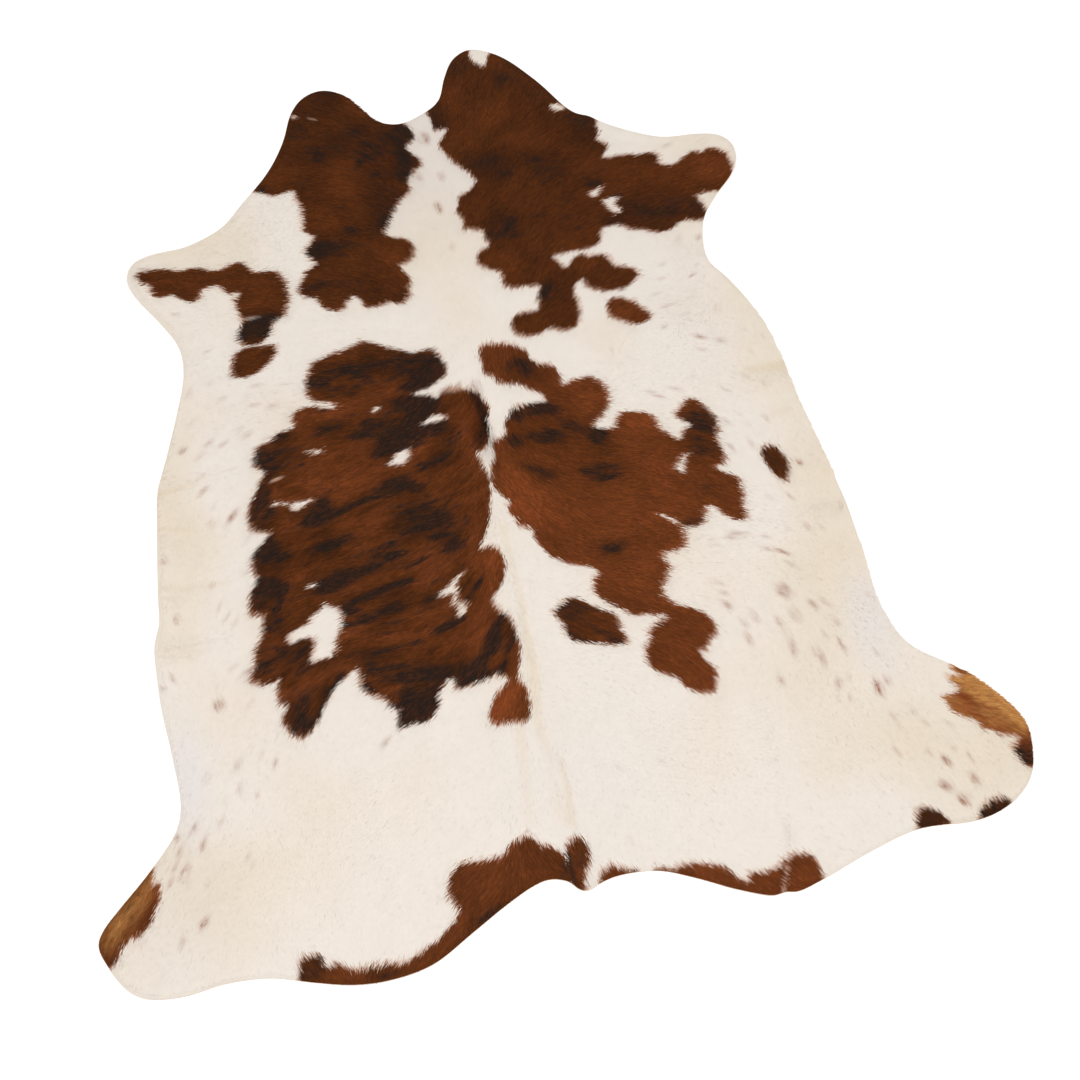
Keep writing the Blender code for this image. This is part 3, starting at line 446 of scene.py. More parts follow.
# Dark smudges of the brindle: across, along, half length, half width, heading in degrees, strength.
smudges = [
    (-26.2, 23, 5.6, 1.9, -7, 0.56), (-34.4, 21.8, 2.8, 1.9, -1, 0.5),
    (-14.3, 23.8, 2.9, 2.5, -30, 0.46), (-7.6, 21.4, 2.6, 3, 53, 0.5), (-20.4, 24, 2.8, 1.4, -18, 0.31),
    (-10.5, 15.9, 2.9, 2.1, 28, 0.56), (-14.7, 16, 1.9, 1.4, -1, 0.44), (-11.5, 10.5, 3.5, 3, 43, 0.95),
    (-16, 11.5, 2.8, 1.9, -1, 0.75), (-13.5, 7.1, 3, 2.4, 53, 0.95), (-17.4, 3.7, 5, 3.7, 5, 0.85),
    (-21.6, 0.8, 3.2, 2.1, 11, 0.85), (-23.3, 7.1, 4.1, 2.1, -1, 0.6), (-32.7, 9.2, 4.1, 1.9, 5, 0.6),
    (-27.3, 5.3, 4.1, 1.1, -7, 0.5), (-34.7, 14, 1.4, 0.6, -13, 0.44), (-45.1, 8.8, 2.3, 1.1, 11, 0.7),
    (-46.3, 3.7, 4.9, 3.7, -1, 0.6), (-50.4, 4, 1.9, 1.2, -34, 0.6), (-48.6, 0.5, 2.2, 1.3, 22, 0.6),
    (-51.1, -4.7, 2.9, 1.9, 64, 0.7), (-52.1, -9.6, 3.3, 2.9, 54, 0.5),
    (-40.1, -12.8, 3.9, 2.5, 10, 0.72), (-38.4, -10.1, 1.8, 1.5, 22, 0.7),
    (-33.8, -12.6, 3.1, 0.9, 16, 0.85), (-29.6, -11.5, 2.2, 0.7, 10, 0.7),
    (-20.5, -8.4, 3.1, 1.3, -7, 0.65), (-23.5, -10.3, 4, 1.8, 5, 0.6),
    (-17.7, -10.8, 2.3, 1, -24, 0.55), (-18, -17.2, 4.9, 3, 4, 0.58), (-14.1, -20.6, 4, 1.5, 10, 0.6),
    (-20, -20.8, 3.5, 1.2, 10, 0.5), (-10.6, -4.3, 2.8, 1.5, 27, 0.75),
    (-14.5, -5.5, 1.8, 0.9, -1, 0.7), (-10, 3.6, 2.1, 1.6, -1, 0.75), (-7.7, 1, 3.1, 1.9, 61, 0.4),
    (-37.3, -20.5, 4.3, 1.2, 10, 0.75), (-39.6, -21.2, 1.7, 0.7, 10, 0.8),
    (-52, -18.2, 2.6, 2.5, 22, 0.85), (-49.3, -21, 2.2, 0.7, -13, 0.9), (-25.4, -25.9, 4.3, 1, -1, 0.7),
    (-14.2, -23.6, 2.6, 0.7, -1, 0.8), (-12, -25.6, 1.8, 0.7, 31, 0.7), (-24.1, -0.2, 3.6, 1, 5, 0.4),
    (-29.3, 18.4, 4.6, 0.8, -7, 0.31), (-31.5, 16.9, 4.1, 0.5, -3, 0.31),
    (-52.1, -19.6, 2.9, 2.8, 10, 0.77), (-49.4, -21.3, 2.2, 1.1, -1, 0.82),
    (-53.7, -27.8, 3.4, 2.2, -1, 0.82), (-50.9, -28.7, 2, 2.2, -13, 0.67),
    (-54.8, -31.7, 2.4, 1.1, -13, 0.48), (-52, -33.4, 1.5, 1, 53, 0.77),
    (-53, -36.4, 2.9, 2.1, -2, 0.58), (-52.9, -43.3, 4.8, 2.6, -7, 0.48),
    (-56.7, -46.2, 2.3, 1.6, 9, 0.48), (-47.6, -43.5, 2.5, 1.5, 72, 0.58),
    (-47.8, -47.6, 2.8, 1.6, 9, 0.38), (-41.2, -52.2, 1.7, 1, 62, 0.82),
    (-42.9, -53.4, 1.9, 0.8, 9, 0.77), (-49.9, -55.4, 2.9, 1.5, 52, 0.48),
    (-50, -59.4, 2.8, 2.5, 52, 0.77), (-45.3, -56.9, 2.4, 1, 62, 0.67),
    (-32.5, -28.4, 7.3, 1.4, 6, 0.72), (-37.6, -29, 3.4, 2.2, 6, 0.82),
    (-40.8, -30.4, 2.4, 1.6, 6, 0.67), (-28.9, -33.6, 5.4, 0.8, 10, 0.91),
    (-34.1, -35, 2.4, 0.8, 7, 0.91), (-23.8, -32.9, 2, 0.6, 15, 0.77),
    (-36.8, -36.8, 1.9, 1.3, -2, 0.77), (-27.2, -38.4, 3.4, 1.3, 4, 0.72),
    (-31.3, -39.1, 4.8, 1, 1, 0.58), (-36.4, -40.1, 3.8, 0.7, -2, 0.53),
    (-27.9, -42, 2.9, 0.7, -2, 0.48), (-19.2, -38, 2.4, 1.3, 9, 0.67), (-17.1, -45, 2.9, 0.9, 18, 0.86),
    (-13.9, -44, 1.5, 0.6, 30, 0.77), (-36.5, -47, 4.3, 0.7, 4, 0.53),
    (-28.9, -47.7, 5.7, 0.7, 4, 0.53), (-32.1, -43.8, 4.8, 0.6, 0, 0.38),
    (-34.2, -50.7, 2.8, 1.8, -2, 0.58), (-26.2, -54.5, 5.2, 1.4, -7, 0.86),
    (-22.3, -54.4, 2.4, 1.5, 3, 0.77), (-28.6, -51.9, 2.9, 0.7, -2, 0.58),
    (-26.5, -61.6, 3.4, 2.9, 50, 0.91), (-27.8, -58.3, 2.4, 1.5, 51, 0.67),
    (-22, -60.6, 2.5, 1.2, 70, 0.77), (-29.6, -63, 1.9, 1.9, 50, 0.86),
    (-32.4, -59.8, 1.2, 0.6, -13, 0.77), (-35.9, -54.9, 1.4, 1, -13, 0.67),
    (-9, -37, 3.1, 0.7, 46, 0.77), (-11.6, -39.7, 1.5, 0.7, 36, 0.67),
    (-11.7, -32.5, 2.1, 0.9, 36, 0.48), (-7.4, -48.2, 3.5, 1, 45, 0.77),
    (-9.1, -52, 4.5, 1.2, 45, 0.91), (-13.2, -57.4, 4.3, 1.3, 9, 0.91), (-4.8, -45.5, 2, 1, 40, 0.58),
    (-7.6, -56.6, 2, 1, 50, 0.82), (-15.8, -55.8, 2.4, 1.7, 35, 0.77), (-19, -55.1, 2, 1.2, 50, 0.67),
    (-4.6, -51.5, 3.1, 1, 59, 0.58), (-39.8, -20.6, 2, 1.1, 10, 0.77), (-25.7, -23.8, 5, 0.8, 4, 0.48),
    (-12.1, -26.8, 2.1, 1.1, 31, 0.58), (-21.5, -28.6, 4, 0.8, 10, 0.38),
    (-16.5, -34.2, 3, 0.5, 15, 0.38), (14.8, 2.6, 3.7, 1.8, -30, 1), (13, 3.9, 3.7, 2.2, -24, 1),
    (8, 3.2, 2.6, 2.2, -13, 0.9), (13.4, -3.9, 4.9, 1.8, -13, 1), (14.8, -4.5, 2.1, 1.2, -1, 0.96),
    (6.6, -3.3, 2, 1.6, -66, 1), (20, -2.9, 4.2, 1.3, -30, 0.78), (9.9, -12.5, 3.7, 1.1, -41, 0.95),
    (11, -13.3, 2.1, 1, -30, 0.8), (25.1, -6.2, 2.1, 3, -36, 1), (26.1, -10.7, 1.6, 1.5, -35, 0.6),
    (24, -15, 4.6, 1.7, -7, 0.8), (24, -17.1, 3.1, 1.3, -1, 0.9), (19.9, -14.7, 2, 0.8, -13, 0.5),
    (20.8, -34.7, 2.7, 1.4, -7, 0.85), (24.5, -34.1, 3, 0.8, -7, 0.4), (11.6, 16, 3.3, 2.4, -41, 0.9),
    (13.2, 14.6, 2.4, 1.7, 52, 0.72), (9.1, 10.8, 1.6, 0.6, -13, 0.96),
    (47.6, -10, 3.6, 3.6, -36, 0.65), (50, -7.4, 3.2, 3, -47, 0.6), (47.5, -14.3, 4.1, 3, -13, 0.6),
    (0, 0.6, 3.5, 1.3, 61, 0.5), (46.2, -24.7, 3.6, 2.9, -13, 0.35), (40.5, -32.2, 3.1, 1.7, -1, 0.45),
    (-19.4, 108.1, 3, 0.9, -13, 0.65), (-25.1, 88, 1.7, 1.5, -13, 0.86), (-25.5, 89.2, 6.9, 3, 0, 0.43),
    (-17.9, 92.9, 4.8, 1.8, 20, 0.43), (-13.4, 95.3, 1.8, 1.5, 26, 0.54),
    (-12.4, 87.1, 2.9, 3.3, -13, 0.6), (-15.2, 83.9, 0.9, 1.1, -13, 0.76),
    (-12, 79.4, 1.7, 0.9, -13, 0.71), (-3.5, 91.2, 3.5, 3.4, -13, 0.86),
    (-3.8, 84.4, 4.4, 2.3, 72, 0.86), (-4.5, 79.2, 3.3, 2, 80, 0.86), (-10.2, 66.5, 3.3, 1.8, 55, 0.76),
    (-13, 63.5, 3.4, 2.1, 12, 0.65), (-20.9, 63.5, 2.2, 1.3, -13, 0.86),
    (-22, 70.6, 2.3, 1.4, -13, 0.43), (-28.9, 59.3, 3.3, 2.4, 0, 1), (-30.7, 58.3, 2.2, 2.1, -13, 0.92),
    (-23.9, 58.9, 3.9, 2.1, 0, 0.54), (-10.2, 73.1, 7.9, 5.1, 80, 0.43),
    (-8.6, 89.2, 5.8, 5.2, -13, 0.38), (-29.6, 97, 4.2, 2.6, 57, 0.49),
    (-22, 104.7, 3.5, 3.1, -13, 0.38), (-29.7, 80.4, 3.4, 2.9, -13, 0.32),
    (-40.3, 80.5, 0.9, 1.1, -13, 0.86), (-31.7, 48.1, 3.3, 1.3, 0, 0.54),
    (-27.7, 48.6, 6.5, 1.3, -6, 0.32), (-22.8, 44.8, 3.3, 2, 0, 0.43), (-45.2, 41.7, 3.7, 1.4, 0, 1),
    (-47.6, 39.5, 2.7, 1.6, 12, 0.63), (-49.8, 39.4, 1.6, 1.6, -13, 0.72),
    (-47.4, 58.5, 1.1, 0.7, -13, 0.54), (-38.7, 49, 2.2, 2.7, -13, 0.32),
    (17.1, 109.5, 4.3, 3.6, 14, 0.48), (25.8, 103.8, 2.4, 2.7, -13, 0.58),
    (21.3, 99.2, 2.7, 2.3, -13, 0.29), (33, 99.8, 9.4, 2.5, -60, 0.43), (7.1, 91.9, 2, 2.2, -13, 0.82),
    (6.8, 96, 1.4, 1.8, -13, 0.58), (17.5, 77.2, 3, 2.5, -25, 0.67), (20.2, 72.6, 2.6, 1.4, -13, 0.82),
    (14, 76.7, 4.7, 2.5, 0, 0.38), (28.2, 76.5, 3.4, 1.7, -25, 0.48), (31.6, 70.1, 5.3, 3.8, -13, 0.53),
    (41.1, 64.6, 2, 1.2, 0, 0.77), (42.6, 65.1, 2.1, 1, 12, 0.48), (44.4, 84, 3.5, 3, -38, 0.53),
    (41, 87.5, 3.5, 1.7, -38, 0.58), (44.1, 77, 4.1, 2.6, 0, 0.38), (18.7, 57.7, 2.9, 2, -13, 0.77),
    (16.7, 54.4, 3.9, 2, -13, 0.67), (13.5, 54.7, 1.9, 1.6, -13, 0.48),
    (26.1, 57.7, 2.3, 1.1, -13, 0.48), (33.7, 56, 7.8, 1.6, -6, 0.38), (32.1, 60.6, 6.6, 1.2, -6, 0.29),
    (47.4, 57.2, 3.5, 2, -49, 0.58), (54.9, 52.2, 5.2, 2, -6, 0.62), (61.5, 54.1, 4.7, 2.9, 0, 0.53),
    (64.7, 50.8, 2.7, 2, 0, 0.53), (53.2, 55.9, 3.9, 2.5, -13, 0.43), (55.6, 47, 3.2, 2, -13, 0.38),
    (43.5, 52.2, 2.6, 1.1, -13, 0.48), (32.8, 52.1, 3.3, 1.6, 0, 0.48),
    (19.3, 46.5, 1.3, 0.8, 12, 0.58), (21.7, 35.1, 3, 1.6, 61, 0.68), (23.3, 33.6, 3.8, 2.5, 77, 0.4),
    (26.5, 36.4, 2.5, 2.3, -13, 0.24), (36.4, 36.6, 3.9, 2.3, 0, 0.24),
    (42.6, 35.3, 3.2, 1.9, -13, 0.16), (23.9, 27.6, 3.1, 3, -13, 0.2),
    (10.1, -46.4, 3.7, 1.6, -23, 0.6), (8.7, -49.4, 4, 3.2, -34, 0.56), (15.1, -53.8, 4, 1, -39, 0.64),
    (10.1, -54.8, 4, 0.9, -23, 0.6), (17.8, -51.4, 2, 2.2, -13, 0.4), (17.2, -56.4, 2, 0.9, -23, 0.56),
    (29.5, -56.2, 4, 2.1, -13, 0.24), (-20.1, -105.9, 4.1, 0.8, 25, 0.85),
    (-24.7, -97.3, 2.5, 2.5, -13, 0.3), (-41.7, -112.9, 2.4, 1.1, 7, 0.7),
    (-5.2, -101.7, 2.1, 1.2, 67, 0.5), (-0, -97.7, 2.5, 2.1, 67, 0.4),
    (8.7, -104.1, 2.5, 0.4, -13, 0.6), (-47, 41, 4, 1.6, 15, 1), (-50, 38.5, 2, 2, 0, 0.8),
    (-44, 38, 2, 1.5, 0, 0.8), (-46, 37.5, 3, 1.5, 15, 0.5), (62.5, -22, 5, 3, -65, 0.45),
    (-56, -108.5, 3, 2.6, 0, 0.8), (69, -107, 4, 4, 0, 0.5), (82.5, -108, 4, 4, 0, 0.6),
    (92.2, -98.2, 3.4, 2.2, 69, 0.95), (92.4, -100, 1, 1.1, -13, 0.7),
    (-92.2, -99.3, 1.8, 0.9, 47, 0.6), (-88.6, -89.6, 1.2, 0.4, 47, 0.55),
    (-86.1, -93.9, 2.7, 1, 50, 0.35), (-9.3, 19.3, 3.8, 2.8, 40, 0.75), (-13, 21.5, 3, 1.6, 10, 0.45),
    (45.8, -5.6, 3, 2.6, -40, 0.3), (50, -8, 3.4, 3, -45, 0.3), (-85.3, -85.2, 1.9, 0.3, 51, 0.35),
    (-20, 21, 13, 6, -8, 0.18), (-13, -18, 10, 7, -30, 0.18), (-22, -54, 12, 5, 20, 0.08),
    (-48, -26, 5, 14, 0, 0.1), (8, -46.7, 2.6, 1.6, -40, 0.75), (14.8, -47.5, 3.2, 1, -40, 0.6),
    (9.3, -54, 2.6, 1.2, -40, 0.6),
]

# Ticking: brushed flecks in the white. Across, along, half length, half width, strength.
flecks = [
    (58.8, -30.3, 0.7, 0.4, 0.17), (63.3, -31, 1, 0.4, 0.23), (73.4, -35.9, 1, 0.5, 0.26),
    (66.7, -37.2, 0.6, 0.4, 0.2), (64.9, -39.3, 1, 0.6, 0.36), (67.8, -39.9, 0.7, 0.4, 0.23),
    (60.4, -38.2, 0.9, 0.3, 0.2), (61.4, -41.9, 0.6, 0.4, 0.13), (42.5, -37.1, 1.4, 0.6, 0.33),
    (43.5, -39.1, 0.7, 0.3, 0.2), (48.5, -37.7, 1.6, 0.9, 0.33), (51.3, -38, 1, 0.4, 0.2),
    (44.1, -40.8, 0.9, 0.3, 0.13), (48.2, -39.6, 0.9, 0.3, 0.17), (55, -39.4, 1.1, 0.4, 0.23),
    (54.2, -42.1, 1.4, 0.4, 0.33), (57.8, -43.8, 1.6, 0.4, 0.33), (58.9, -47.3, 1.4, 0.4, 0.26),
    (37.8, -49.5, 1.3, 0.5, 0.36), (41.8, -47.9, 1.1, 0.6, 0.26), (42.4, -50.3, 0.9, 0.4, 0.26),
    (42.1, -53.2, 1.1, 0.6, 0.36), (55.2, -52.7, 1.4, 1.1, 0.42), (47.3, -57.1, 1.4, 0.6, 0.36),
    (44.8, -58, 1, 0.4, 0.26), (52.2, -59.4, 1.1, 0.6, 0.3), (56, -58.4, 1.4, 0.9, 0.33),
    (60.6, -57.4, 1.3, 0.6, 0.33), (63.3, -57.4, 1.7, 0.4, 0.23), (64.1, -61.7, 1.1, 0.7, 0.26),
    (44.5, -61.6, 1.3, 0.6, 0.36), (53.2, -65.6, 1.6, 0.7, 0.34), (52.8, -62.3, 1, 0.6, 0.13),
    (60.7, -64.4, 1.1, 0.3, 0.26), (63.5, -67.3, 1.4, 0.4, 0.45), (57.3, -67.5, 1.1, 0.4, 0.2),
    (58.5, -69.1, 1.6, 0.6, 0.45), (48.7, -72.5, 0.9, 0.6, 0.37), (60.3, -75.4, 1, 0.6, 0.49),
    (62.6, -74.8, 0.7, 0.4, 0.26), (58.9, -78.8, 0.7, 0.4, 0.23), (61.5, -79, 0.6, 0.4, 0.26),
    (69.7, -70.8, 0.6, 0.5, 0.26), (68.1, -78.3, 1.4, 0.8, 0.68), (70.4, -76.9, 0.9, 0.5, 0.45),
    (69.2, -85, 0.9, 0.5, 0.26), (69.9, -86.7, 0.9, 0.3, 0.3), (73.4, -84.7, 0.9, 0.4, 0.23),
    (75.1, -87.5, 0.6, 0.4, 0.3), (67.1, -92, 0.9, 0.4, 0.3), (73.4, -93.7, 0.6, 0.4, 0.2),
    (76.5, -96.2, 0.9, 0.6, 0.6), (74.9, -101, 1, 0.9, 0.64), (73.7, -100.6, 1, 0.6, 0.33),
    (77.1, -104.4, 0.9, 0.8, 0.9), (78.6, -103.9, 0.6, 0.4, 0.4), (80.8, -101.2, 1, 0.6, 0.55),
    (81.4, -96.6, 1, 0.4, 0.36), (77.6, -105.6, 0.6, 0.5, 0.3), (79.6, -88.8, 0.9, 0.4, 0.2),
    (78.7, -94.1, 0.7, 0.4, 0.2), (60.6, -97.2, 0.9, 0.4, 0.13), (72.5, -57.4, 0.7, 0.5, 0.13),
    (55.8, -93.8, 0.7, 0.4, 0.13), (-58.9, 35.3, 0.6, 0.5, 0.55), (-49.1, 23.6, 1.2, 0.4, 0.33),
    (-42.4, 22.8, 1.1, 0.5, 0.23), (-45.7, 17.7, 1.4, 0.9, 0.26), (-50, 18.6, 1.1, 0.4, 0.26),
    (-57, 21.7, 0.9, 0.5, 0.23), (-51.4, 21.4, 0.9, 0.5, 0.13), (-64.1, 25.9, 1.1, 0.5, 0.2),
    (-64.4, 24.2, 0.9, 0.5, 0.17), (-59.5, 26.6, 0.8, 0.5, 0.13), (-55, 12.4, 1.2, 0.5, 0.33),
    (-52.7, 11.1, 1.2, 0.6, 0.26), (-58.4, 9.8, 1.1, 0.5, 0.26), (-61.4, 10.9, 1.1, 0.6, 0.2),
    (-67.6, 10.2, 0.7, 0.7, 0.55), (-63.8, 7.8, 1.1, 0.5, 0.23), (-58, 2.9, 1.6, 0.4, 0.26),
    (-64.1, 2.5, 1.2, 0.4, 0.26), (-64.2, -1.3, 1.2, 0.5, 0.33), (-58.8, -9.2, 1.7, 0.6, 0.34),
    (-63.3, -9.9, 0.5, 0.7, 0.3), (-74.3, -16.6, 0.5, 0.7, 0.33), (-55.9, -15.1, 1.4, 0.8, 0.2),
    (-64.9, -24.7, 0.5, 0.7, 0.23), (-57.4, -23, 1.2, 0.5, 0.23), (-63.9, -30, 1.4, 0.3, 0.23),
    (-63.2, -33.7, 1.6, 0.3, 0.36), (-73.2, -31, 0.9, 0.7, 0.45), (-60.8, -34.3, 1.1, 0.4, 0.2),
    (-62.7, -44.4, 1.2, 0.5, 0.23), (-59.4, -45.5, 1.6, 0.7, 0.33), (-71.4, -39.7, 0.7, 0.5, 0.13),
    (-50.8, 7.3, 1.2, 0.4, 0.26), (-64.7, 16.9, 1.1, 0.5, 0.17), (-62.6, -5.5, 0.8, 0.5, 0.13),
    (-48.5, 9.2, 1.1, 0.4, 0.2), (-75.6, -44.2, 1, 0.5, 0.26), (-66.2, -48.5, 1, 0.6, 0.2),
    (-66.6, -52.2, 0.9, 0.9, 0.8), (-62.9, -44.5, 1, 0.4, 0.2), (-59.8, -46.5, 1.7, 0.7, 0.33),
    (-61.5, -62.7, 1.1, 0.4, 0.23), (-59.6, -64.7, 1.1, 0.5, 0.23), (-57, -67.1, 0.9, 0.4, 0.36),
    (-64.7, -65.7, 1.3, 0.7, 0.17), (-64.8, -71, 1.1, 0.6, 0.23), (-61.1, -73, 0.9, 0.5, 0.23),
    (-67.8, -73.6, 0.7, 0.5, 0.13), (-69.2, -76.4, 0.9, 0.6, 0.2), (-70.9, -67, 1.1, 0.6, 0.2),
    (-74.9, -77.3, 1.4, 0.5, 0.38), (-73.3, -80.6, 1, 0.5, 0.45), (-72.5, -78.9, 1, 0.4, 0.2),
    (-77.2, -80.9, 1.3, 0.8, 0.36), (-78.2, -78.3, 0.6, 0.4, 0.52), (-77.3, -85.3, 1.4, 0.6, 0.52),
    (-81.3, -84.3, 1, 0.4, 0.33), (-80.3, -86.4, 0.9, 0.4, 0.33), (-81.7, -82.2, 0.9, 0.4, 0.26),
    (-79.1, -83.9, 1, 0.4, 0.23), (-72.3, -82.2, 0.7, 0.4, 0.17), (-76.8, -87.8, 1, 0.3, 0.2),
    (-73.2, -88.3, 0.7, 0.4, 0.23), (-64.9, -85.1, 0.9, 0.4, 0.26), (-64.8, -87, 1.1, 0.4, 0.3),
    (-74.8, -95.6, 0.98, 0.68, 0.6), (-79.3, -98.5, 1, 0.4, 0.33), (-87.5, -97.2, 0.6, 0.6, 0.3),
    (-77.8, -46, 0.5, 0.6, 0.75), (57.6, 43.3, 1.3, 0.7, 0.17), (62.3, 42.8, 0.8, 0.6, 0.26),
    (51.7, 36.7, 0.8, 0.4, 0.2), (50.4, 32.7, 0.8, 0.4, 0.17), (59.8, 34.4, 0.5, 0.3, 0.2),
    (58, 32, 0.9, 0.3, 0.23), (60.4, 30.6, 1, 0.4, 0.2), (47.7, 28.4, 1, 0.4, 0.2),
    (50.8, 25, 1.2, 0.3, 0.2), (49.1, 24.5, 0.9, 0.3, 0.17), (53.3, 21.5, 1, 0.4, 0.2),
    (61.3, 21.4, 0.8, 0.6, 0.2), (47.4, 19.1, 0.8, 0.6, 0.17), (54.9, 14.5, 1.3, 0.4, 0.36),
    (59.5, 12.6, 1.2, 0.6, 0.3), (54.5, 10.9, 1, 0.4, 0.26), (49.9, 4.2, 1.2, 0.3, 0.3),
    (39.7, 2.2, 1, 0.4, 0.26), (45.8, 1.6, 1, 0.6, 0.23), (41.6, 0.5, 1, 0.4, 0.23),
    (56.8, -0.8, 1, 0.4, 0.2), (62.2, 1.7, 1.3, 0.3, 0.26), (59.8, 3.3, 0.9, 0.3, 0.2),
    (66.4, -1.2, 0.5, 0.6, 0.55), (63.7, -9.9, 0.9, 0.4, 0.26), (66.5, -8.8, 0.6, 0.3, 0.17),
    (54.7, -9.2, 0.9, 0.5, 0.2), (59.3, -11, 0.6, 0.5, 0.2), (58.7, -15.9, 1, 0.6, 0.26),
    (66.1, 13.5, 0.8, 0.4, 0.13), (69.5, 11.4, 0.8, 0.3, 0.17), (65.7, 7.8, 0.8, 0.3, 0.13),
    (33.7, 15.6, 0.9, 0.3, 0.13), (55.7, 25.8, 0.9, 0.4, 0.1), (54, -16, 1, 0.4, 0.23),
    (58.3, -8.1, 0.6, 0.4, 0.1), (-46.2, 42.7, 1, 0.5, 0.23), (-50.4, 42.8, 0.8, 0.5, 0.2),
    (-44.5, 47.7, 0.8, 0.5, 0.13), (-48.1, 38.5, 0.8, 0.5, 0.17), (71.5, 71.7, 1.2, 0.5, 0.6),
    (62.5, 72.5, 1.2, 0.5, 0.2), (-71, 62.6, 1, 0.5, 0.52), (-65, 47.5, 1, 0.5, 0.17),
    (-60.5, -53.5, 1, 0.5, 0.17), (10.9, -82.9, 1, 0.4, 0.13), (9.6, -97.9, 1, 0.4, 0.13),
    (19.6, -83.3, 1, 0.4, 0.13), (67.9, -23.1, 0.5, 0.6, 0.6), (-34.5, -67.6, 1.2, 0.6, 0.3),
]

# Softer places, in the same order of numbers: redder, or deeper where the strength is below 0.
redderSpots = [
    (-14.5, -0.8, 3.5, 2.4, 52, 0.8), (-17, 16.2, 2.3, 1.6, -1, 0.7), (-5, 18.6, 1.2, 1.1, -13, 0.7),
    (-30.6, -14.9, 5.3, 3, 4, 0.3), (-32.2, -2.1, 8.9, 4.1, 5, 0.3), (-16.9, -8.7, 2.2, 1.3, -13, 0.4),
    (-13.7, -13.5, 2.3, 2, 21, 0.4), (-5.9, -33.8, 4.8, 3, 60, 0.5), (-22.1, -26.3, 4.9, 2.2, 4, 0.4),
    (-8.2, -63.7, 3.9, 2.9, 49, 0.9), (-46.9, -25.2, 3.1, 3.1, 53, 0.3),
    (-26.5, -45.5, 5.8, 1.3, 0, 0.35), (-11.3, -48.4, 3, 1.3, 35, 0.45),
    (-30.4, -56.7, 2.4, 1, -2, 0.6), (-4.8, -40.7, 2.6, 1.2, 60, 0.4), (5.9, -18.7, 5.2, 4.4, -46, 0.6),
    (4.2, -12.4, 3.9, 2.7, -66, 0.5), (35.1, -4.7, 4.2, 2.4, -13, 0.35),
    (25.4, 4.3, 3.7, 3.7, -13, 0.25), (2.6, -4.9, 2.3, 1.6, 51, 0.4), (13.3, -25, 5, 2.3, -24, 0.2),
    (-21.5, 77.8, 6.5, 5.1, 81, 0.4), (-35, 83.8, 4.5, 2.9, 0, 0.35),
    (-14.3, 104.5, 2.9, 3.1, -13, 0.3), (-13.4, 54.4, 3.3, 2.7, -13, 0.3),
    (39, 72.8, 6, 4.3, -13, 0.25), (18.4, 91.6, 5.5, 4.4, 0, 0.15), (15.4, 45.3, 5.1, 3.1, -13, 0.35),
    (71, 63.9, 4, 4.3, -13, 0.45), (59.8, 63, 5.3, 3.4, -13, 0.2), (39.5, 25.7, 3.1, 2.3, -25, 0.3),
    (37.9, 40.3, 3.8, 2.4, -13, 0.2), (88.4, -91.7, 5, 1.1, -25, 0.3), (82.9, -84.9, 3, 1.3, -46, 0.5),
    (30, 56, 8, 5, 0, 0.3), (58, 60, 9, 6, 0, 0.3), (-15, -2, 4, 3, 20, 0.3), (73, 63, 5, 5, 90, 0.4),
    (-20, 80, 6, 4, 80, 0.2), (-23.7, 67, 6, 5, 0, 0.2), (44, 62, 7, 4, 0, 0.15),
    (-22, 20, 13, 5.5, -8, -0.3), (-35, 3, 7, 4, 0, -0.2), (-13, -18, 9, 7, -30, -0.15),
    (-3.7, 86, 6, 4, 90, -0.3), (-25, 104, 10, 5, 0, -0.2), (22, 76, 9, 3.5, -10, -0.3),
    (14, 61, 6, 3, -13, -0.25), (-9, 67, 5, 4, 60, -0.25), (50, 52, 9, 3, -10, -0.2),
    (38, 84, 8, 3.5, -50, -0.15),
]

# The same for white streaks in the brown, tan, grey wisps in the white, a greyer white (a thin coat on the
# flanks, painted shade at the neck and the left hind lobe) and a warm cream.
paleStreaks = [
    (-48.3, 42.8, 2.2, 0.4, 0, 0.35), (-47.6, -1.8, 1.3, 0.3, 12, 0.5), (-3, 13.3, 3, 0.8, 8, 0.45),
    (0.6, 12, 1.8, 0.9, -35, 0.55), (-24.7, 100.7, 0.8, 0.25, -20, 0.25),
]

tanSpots = [
    (86.8, -80.1, 5.5, 3.6, -52, 1), (84.3, -77.2, 3.6, 2.6, -52, 1), (90.6, -85.5, 7, 3.8, -58, 1),
    (93.9, -91, 3.6, 2.6, -75, 0.75), (85, -87, 7, 3.5, -45, 0.35), (-88.8, -89.8, 7, 2.8, 50, 0.34),
    (-92.7, -95, 3, 2, 53, 0.12), (-84.2, -84.2, 2.2, 1.6, 53, 0.25),
]

greyWisps = [
    (2.5, 88, 1.8, 1.4, -80, 0.55), (1.8, 65.5, 1.6, 1.0, -80, 0.6), (-1, 76, 1.3, 0.9, -80, 0.4),
    (4.5, 75, 1.3, 0.9, -80, 0.4), (3, 53, 1.2, 0.7, -90, 0.3), (-47.5, -1.7, 1.6, 0.5, 20, 0.3),
    (-51.5, -33, 1.5, 1, 60, 0.3), (-49, -49, 1.2, 0.5, 40, 0.3), (-2, 13, 2.5, 1.2, 0, 0.35),
    (0.5, 12, 2, 1.2, 90, 0.4),
]

# Greyer white: the rows on the flanks are a thin coat, the rows at the neck and the left hind lobe are
# painted shade.
thinCoatAndShadePlaces = [
    (-75, -67, 10, 4.5, 90, 1), (71, -63, 9, 5, 90, 0.9), (-50, 12, 16, 10, 90, 0.15),
    (1, 84, 26, 14, 90, 0.8), (-80, -92, 12, 9, 90, 0.5), (5, -84, 16, 14, 90, 0.35),
    (52, 26, 16, 9, 90, 0.3),
]

